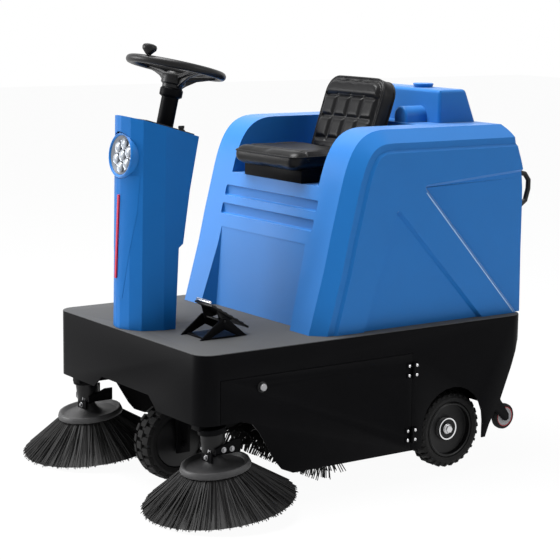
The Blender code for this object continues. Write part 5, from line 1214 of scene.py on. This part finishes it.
def ringOf(shape, count, centre):
    # Copies of a shape, modelled at the wheel's top, all round the wheel's axle
    copies = []
    for number in range(count):
        turn = Matrix.Translation(centre) @ Matrix.Rotation(2 * math.pi * number / count, 4, "X")
        copies.append(copied(shape, turn))
    bpy.data.objects.remove(shape, do_unlink=True)
    return joined(copies, "lugs")


def lowerShoulder(lug, beyond, above, drop):
    # The tread's outer edge falls away
    for vertex in lug.data.vertices:
        if abs(vertex.co.x) > beyond and vertex.co.z > above:
            vertex.co.z -= drop


# Rear wheel's hub and rim rings, each with its profile, steps, place along the axle and finish
hubShape = {
    "recess": 0.022, "nut": 0.0135, "nutOut": 0.0015, "nutWasher": 1.3, "beadIn": 0.008, "rimSoft": 0.0016,
    "ring": ((0.0325, -0.010), (0.0325, 0.003), (0.034, 0.006), (0.038, 0.0065), (0.040, 0.003), (0.040, -0.010)),
    "dish": ((0.0130, -0.010), (0.0130, -0.003), (0.0326, 0.0), (0.0326, -0.010)),
    "bead": ((0.086, -0.006), (0.087, 0.0035), (0.0905, 0.0055), (0.0945, 0.0030), (0.095, -0.006)),
}


def makeRearWheel(side, sign):
    spec, hub, body = tyreShape["rear"], hubShape, side + "_wheel"
    low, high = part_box(side + "_rear_tyre")
    centre = (low + high) / 2
    half = (high.x - low.x) / 2
    radius = spec["radius"]
    tyre = tyreBody(side + "_rear_tyre_finished", radius, spec["bead"], half * 0.985, centre)
    step = math.pi * radius / spec["lugs"]
    lugs = []
    for edge in (-1, 1):
        lug = plate("lug", [(edge * half * x, step * y) for x, y in spec["lug"]], "z", radius - spec["depth"], radius)
        lowerShoulder(lug, half * 0.9, radius - 0.004, spec["shoulder"])
        lug.data.transform(Matrix.Translation((0, edge * step * 0.5, 0)))
        roundOff(lug, spec["soft"], 1, 30)
        lugs.append(ringOf(lug, spec["lugs"], centre))
    whole = joined([tyre] + lugs, side + "_rear_tyre_finished")
    finished(whole, body, "tyreBlack", (side + "_rear_tyre",))
    rim = softCopy(side + "_rear_rim", hub["rimSoft"], 3)
    finished(rim, body, "rimBlack", (side + "_rear_rim",))
    outer = centre.x + sign * half
    face = outer - sign * hub["recess"]
    for name, profile, x, steps, finish, slot in (
            ("hub_ring", "ring", face, 56, "chromeRing", "bare_steel"),
            ("hub_dish", "dish", face, 48, "rimBlack", "black_plastic"),
            ("rim_bead", "bead", outer - sign * hub["beadIn"], 72, "rimBlack", "black_plastic")):
        ring = spun(f"{side}_{name}", hub[profile], steps)
        ring.data.transform(facing((sign, 0, 0), (x, centre.y, centre.z)))
        finished(ring, body, finish)
    bolt(side + "_axle_nut", (face + sign * hub["nutOut"], centre.y, centre.z), (sign, 0, 0), hub["nut"], body,
         hub["nutWasher"], "brightSteel")


def makeFrontTyre():
    spec = tyreShape["front"]
    low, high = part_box("front_tyre")
    centre, half, radius = (low + high) / 2, spec["half"], spec["radius"]
    tyre = tyreBody("front_tyre_finished", radius - spec["under"], spec["bead"], half * 0.96, centre)
    step = 2 * math.pi * radius / spec["lugs"]
    reach = step * spec["lugHalf"]
    rows = []
    for middle, wide, shift in spec["rows"]:
        lug = block("lug", Vector((middle - wide / 2, -reach, radius - spec["depth"])),
                    Vector((middle + wide / 2, reach, radius - 0.0005)), spec["soft"], 2)
        lowerShoulder(lug, half * 0.85, radius - 0.008, spec["shoulder"])
        lug.data.transform(Matrix.Rotation(step * shift / radius, 4, "X"))
        rows.append(ringOf(lug, spec["lugs"], centre))
    whole = joined([tyre] + rows, "front_tyre_finished")
    finished(whole, "front_wheel", "tyreBlack", ("front_tyre",))


# Casters: dark tread, thin red ring and grey centre. Each half profile is a radius and a share of the half width
casterShape = {
    "tread": (((0.034, 0.86), (0.036, 1)), "tyreBlack"),
    "outline": (((0.0325, 0.97), (0.0345, 1.0)), "ringRed"),
    "centre": (((0.0075, 0.95), (0.012, 1), (0.016, 0.9), (0.029, 0.8), (0.0327, 0.9)), "casterGrey"),
    "edge": ((0.006, 1), (0.001, 0.6)),
}


def makeCaster(side):
    low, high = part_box(side + "_caster_wheel")
    centre, half = (low + high) / 2, (high.x - low.x) / 2
    radius = (high.z - low.z) / 2
    turn = Matrix.Translation(centre) @ Matrix.Rotation(math.radians(90), 4, "Y")
    for name in ("tread", "outline", "centre"):
        wall, finish = casterShape[name]
        isTread = name == "tread"
        wall = list(wall) + [(radius - depth, share) for depth, share in casterShape["edge"] if isTread]
        crown = [(radius, 0)] if isTread else []
        profile = [(r, -half * share) for r, share in wall] + crown
        profile += [(r, half * share) for r, share in reversed(wall)]
        piece = spun(f"{side}_caster_{name}", profile)
        piece.data.transform(turn)
        finished(piece, side + "_caster", finish, (side + "_caster_wheel",) if isTread else ())


makeWheel()
makeHeadlight()
makeStrip()
makeFrontTyre()
for side, sign in bothSides():
    makeRearWheel(side, sign)
    makeCaster(side)
print("wheels, headlight and steering finished")


# Screws in both leaves of each hinge, and a ring round the lock
hingeShape = {"heights": (0.159, 0.379), "seam": 0.829, "leaf": 0.0150, "doorLeaf": -0.0160, "rise": 0.016,
              "screw": 0.0058, "stand": 0.4600}
lockShape = {"centre": (0.224, 0.399), "stand": 0.4572,
             "ring": ((0.0128, 0), (0.0168, 0), (0.0172, 0.0022), (0.0150, 0.0034), (0.0128, 0.0030))}


def makeDoorDetails(side, sign):
    spec, door = hingeShape, side + "_side_door"
    out = (sign, 0, 0)
    for number, middle in enumerate(spec["heights"]):
        for shift in (-1, 1):
            for kind, leaf, body in (("hinge", "leaf", "chassis"), ("door", "doorLeaf", door)):
                place = spot(sign * spec["stand"], spec["seam"] + spec[leaf], middle + shift * spec["rise"])
                panScrew(f"{side}_{kind}_screw_{number}_{shift + 1}", place, out, spec["screw"], body)
    ring = spun(side + "_lock_ring", lockShape["ring"], 40)
    ring.data.transform(facing(out, spot(sign * lockShape["stand"], *lockShape["centre"])))
    finished(ring, door, "gripBlack")


for side, sign in bothSides():
    makeDoorDetails(side, sign)
print("door details finished")


# Low key switch on the dash
switchShape = {"barrel": ((0.0002, 0), (0.0125, 0), (0.0125, 0.003), (0.0105, 0.006), (0.0080, 0.007),
                          (0.0080, 0.011), (0.0002, 0.012)),
               "lever": ((-0.0025, -0.011, 0.009), (0.0025, 0.011, 0.019)), "soft": 0.0015}


def makeSwitch():
    spec = switchShape
    low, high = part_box("key_switch")
    barrel = spun("key_switch_finished", spec["barrel"], 32)
    lever = block("switchLever", *(Vector(corner) for corner in spec["lever"]), spec["soft"], 2)
    whole = joined([barrel, lever], "key_switch_finished")
    whole.data.transform(Matrix.Translation(((low.x + high.x) / 2, (low.y + high.y) / 2, low.z)))
    finished(whole, "key", "gripBlack", ("key_switch",))


# Drive pedal: a bright bar along the top edge and ribs on the tread
pedalShape = {"x": (0.150, 0.250), "rear": (0.315, 0.545), "front": (0.175, 0.628), "ribs": 6, "ribHigh": 0.0035,
              "ribHalf": 0.0045, "ribIn": 0.008, "ribFoot": 0.001, "ribSoft": 0.0012, "ribFrom": 0.12, "ribTo": 0.86,
              "bar": 0.0055, "barIn": 0.012, "barForward": 0.001}


def makePedalTrim():
    spec = pedalShape
    (rear, rearHigh), (tip, tipHigh), (inner, outer) = spec["rear"], spec["front"], spec["x"]
    slope = math.atan2(tipHigh - rearHigh, rear - tip)
    long, thick = outer - inner - 2 * spec["barIn"], spec["bar"]
    ends = [(0.0002, 0), (thick * 0.8, 0), (thick, thick * 0.3)]
    profile = ends + [(r, long - h) for r, h in reversed(ends)]
    rod = spun("pedal_top_bar", profile, 20, spot(inner + spec["barIn"], tip - spec["barForward"], tipHigh + thick),
               (1, 0, 0))
    finished(rod, "drive_pedal", "brightSteel", (), 35)
    ribs = []
    for number in range(spec["ribs"]):
        share = spec["ribFrom"] + (spec["ribTo"] - spec["ribFrom"]) * number / (spec["ribs"] - 1)
        place = spot(0, tip + (rear - tip) * share, tipHigh + (rearHigh - tipHigh) * share)
        rib = block("rib", Vector((inner + spec["ribIn"], -spec["ribHalf"], -spec["ribFoot"])),
                    Vector((outer - spec["ribIn"], spec["ribHalf"], spec["ribHigh"])), spec["ribSoft"], 2)
        rib.data.transform(Matrix.Translation(place) @ Matrix.Rotation(-slope, 4, "X"))
        ribs.append(rib)
    finished(joined(ribs, "pedal_ribs"), "drive_pedal", "gripBlack")


# Brackets over the side brush motors: a plate, two cheeks and a front plate, with their bolts
bracketShape = {"half": (0.046, 0.046), "height": 0.200, "thick": 0.006, "soft": 0.002, "cheekFoot": 0.001,
                "cheek": 0.042, "cheekLow": 0.45, "cheekStep": 0.4, "bolt": 0.0060,
                "front": ((0.62, 0.004, -0.030), (0.62, -0.002, 0.022)),
                "frontBolts": ((-0.018, 0.010), (0.018, 0.010), (0.0, -0.016)),
                "cheekBolts": ((-0.016, 0.014), (0.014, 0.014))}


def makeBracket(side, sign):
    spec, body = bracketShape, side + "_arm"
    (wide, deep), thick, cheek = spec["half"], spec["thick"], spec["cheek"]
    pieces = [block("bracketPlate", Vector((-wide, -deep, 0)), Vector((wide, deep, thick)), spec["soft"], 2)]
    outline = [(-deep, spec["cheekFoot"]), (deep, spec["cheekFoot"]), (deep, cheek),
               (deep * spec["cheekStep"], cheek), (-deep, cheek * spec["cheekLow"])]
    for across in (-1, 1):
        edge = across * (wide - thick / 2)
        pieces.append(plate("bracketCheek", outline, "x", edge - thick / 2, edge + thick / 2))
    (share, ahead, foot), (_, behind, top) = spec["front"]
    pieces.append(block("bracketFront", Vector((-wide * share, -deep - ahead, foot)),
                        Vector((wide * share, -deep - behind, top)), spec["soft"], 2))
    bracket = joined(pieces, side + "_brush_bracket")
    place = Matrix.Translation(spot(sign * brushShape["x"], brushShape["station"], spec["height"]))
    bracket.data.transform(place)
    finished(bracket, body, "chassisBlack")
    for number, (across, rise) in enumerate(spec["frontBolts"]):
        spotted = place @ Vector((across, -deep - ahead, rise))
        bolt(f"{side}_bracket_bolt_{number}", spotted, (0, -1, 0), spec["bolt"], body)
    for number, (along, rise) in enumerate(spec["cheekBolts"]):
        spotted = place @ Vector((sign * wide, along, rise))
        bolt(f"{side}_cheek_bolt_{number}", spotted, (sign, 0, 0), spec["bolt"], body)


# Dark stops behind the top and front edges of the side doors, which close the seam
doorStopShape = {"x": (0.4482, 0.4512), "outline": ((0.058, 0.300), (0.088, 0.300), (0.088, 0.420), (0.808, 0.420),
                                                    (0.808, 0.448), (0.058, 0.448)), "soft": 0.0008}


def makeDoorStop(side, sign):
    spec = doorStopShape
    stop = plate(side + "_door_stop", behindFront(spec["outline"]), "x", *sorted(sign * x for x in spec["x"]))
    roundOff(stop, spec["soft"], 2, 30)
    finished(stop, "chassis", "frameBlack")


makeSwitch()
makePedalTrim()
for side, sign in bothSides():
    makeBracket(side, sign)
    makeDoorStop(side, sign)
print("switch, pedal trim, brackets and door stops finished")


# Plain nodes: each is its CAD shape with softened edges and its own finish
plainNodes = {
    "chassis_frame": ("chassis", "frameBlack", "black_steel", 0.0010),
    "body_shell": ("chassis", "chassisBlack", "black_coat", 0.0022),
    "deck_mat": ("chassis", "deckGrey", "grey_mat", 0.0008),
    "dash_panel": ("chassis", "gripBlack", "black_plastic", 0.0012),
    "headlight_bezel": ("chassis", "hoodBlue", "blue_shell", 0.0025),
    "steering_tube": ("chassis", "chassisBlack", "black_steel", 0.0010),
    "steering_chain": ("chassis", "dullSteel", "bare_steel", 0.0004),
    "left_rear_axle": ("chassis", "brightSteel", "bare_steel", 0.0006),
    "right_rear_axle": ("chassis", "brightSteel", "bare_steel", 0.0006),
    "battery_pack": ("chassis", "caseGrey", "grey_plastic", 0.0020),
    "filter_cartridge": ("chassis", "filterCream", "grey_plastic", 0.0010),
    "vacuum_fan": ("chassis", "gripBlack", "black_plastic", 0.0010),
    "pedal_bracket": ("chassis", "chassisBlack", "black_steel", 0.0008),
    "steering_shaft": ("steering", "brightSteel", "bare_steel", 0.0006),
    "lower_steering_shaft": ("lower_shaft", "dullSteel", "bare_steel", 0.0006),
    "steering_fork": ("fork", "chassisBlack", "black_steel", 0.0010),
    "front_hub_motor": ("front_wheel", "gripBlack", "black_plastic", 0.0010),
    "main_broom_arm": ("broom_carrier", "frameBlack", "black_steel", 0.0010),
    "main_broom_core": ("broom", "discGrey", "black_plastic", 0.0010),
    "dust_bin": ("bin", "chassisBlack", "black_coat", 0.0016),
    "seat_pan": ("seat_hood", "chassisBlack", "black_plastic", 0.0015),
    "filler_cap": ("cap", "hoodBlue", "blue_shell", 0.0008),
    "horn_button": ("horn", "ringRed", "red_lens", 0.0008),
    "rear_handle": ("seat_hood", "gripBlack", "black_plastic", 0.0006),
    "pedal": ("drive_pedal", "gripBlack", "black_plastic", 0.0012),
}
for side, _ in bothSides():
    plainNodes.update({
        side + "_lower_hinge": ("chassis", "chassisBlack", "black_steel", 0.0006),
        side + "_upper_hinge": ("chassis", "chassisBlack", "black_steel", 0.0006),
        side + "_door": (side + "_side_door", "chassisBlack", "black_coat", 0.0010),
        side + "_door_lock": (side + "_lock", "dullSteel", "bare_steel", 0.0006),
        side + "_brush_arm": (side + "_arm", "chassisBlack", "black_steel", 0.0012),
        side + "_brush_motor": (side + "_arm", "gripBlack", "black_steel", 0.0010),
        side + "_brush_disc": (side + "_brush", "discGrey", "disc_plastic", 0.0010),
    })

for node, (body, finish, slotName, soft) in plainNodes.items():
    finishPiece(softCopy(node, soft), body, finish, (node,), 40)
print("plain nodes finished")
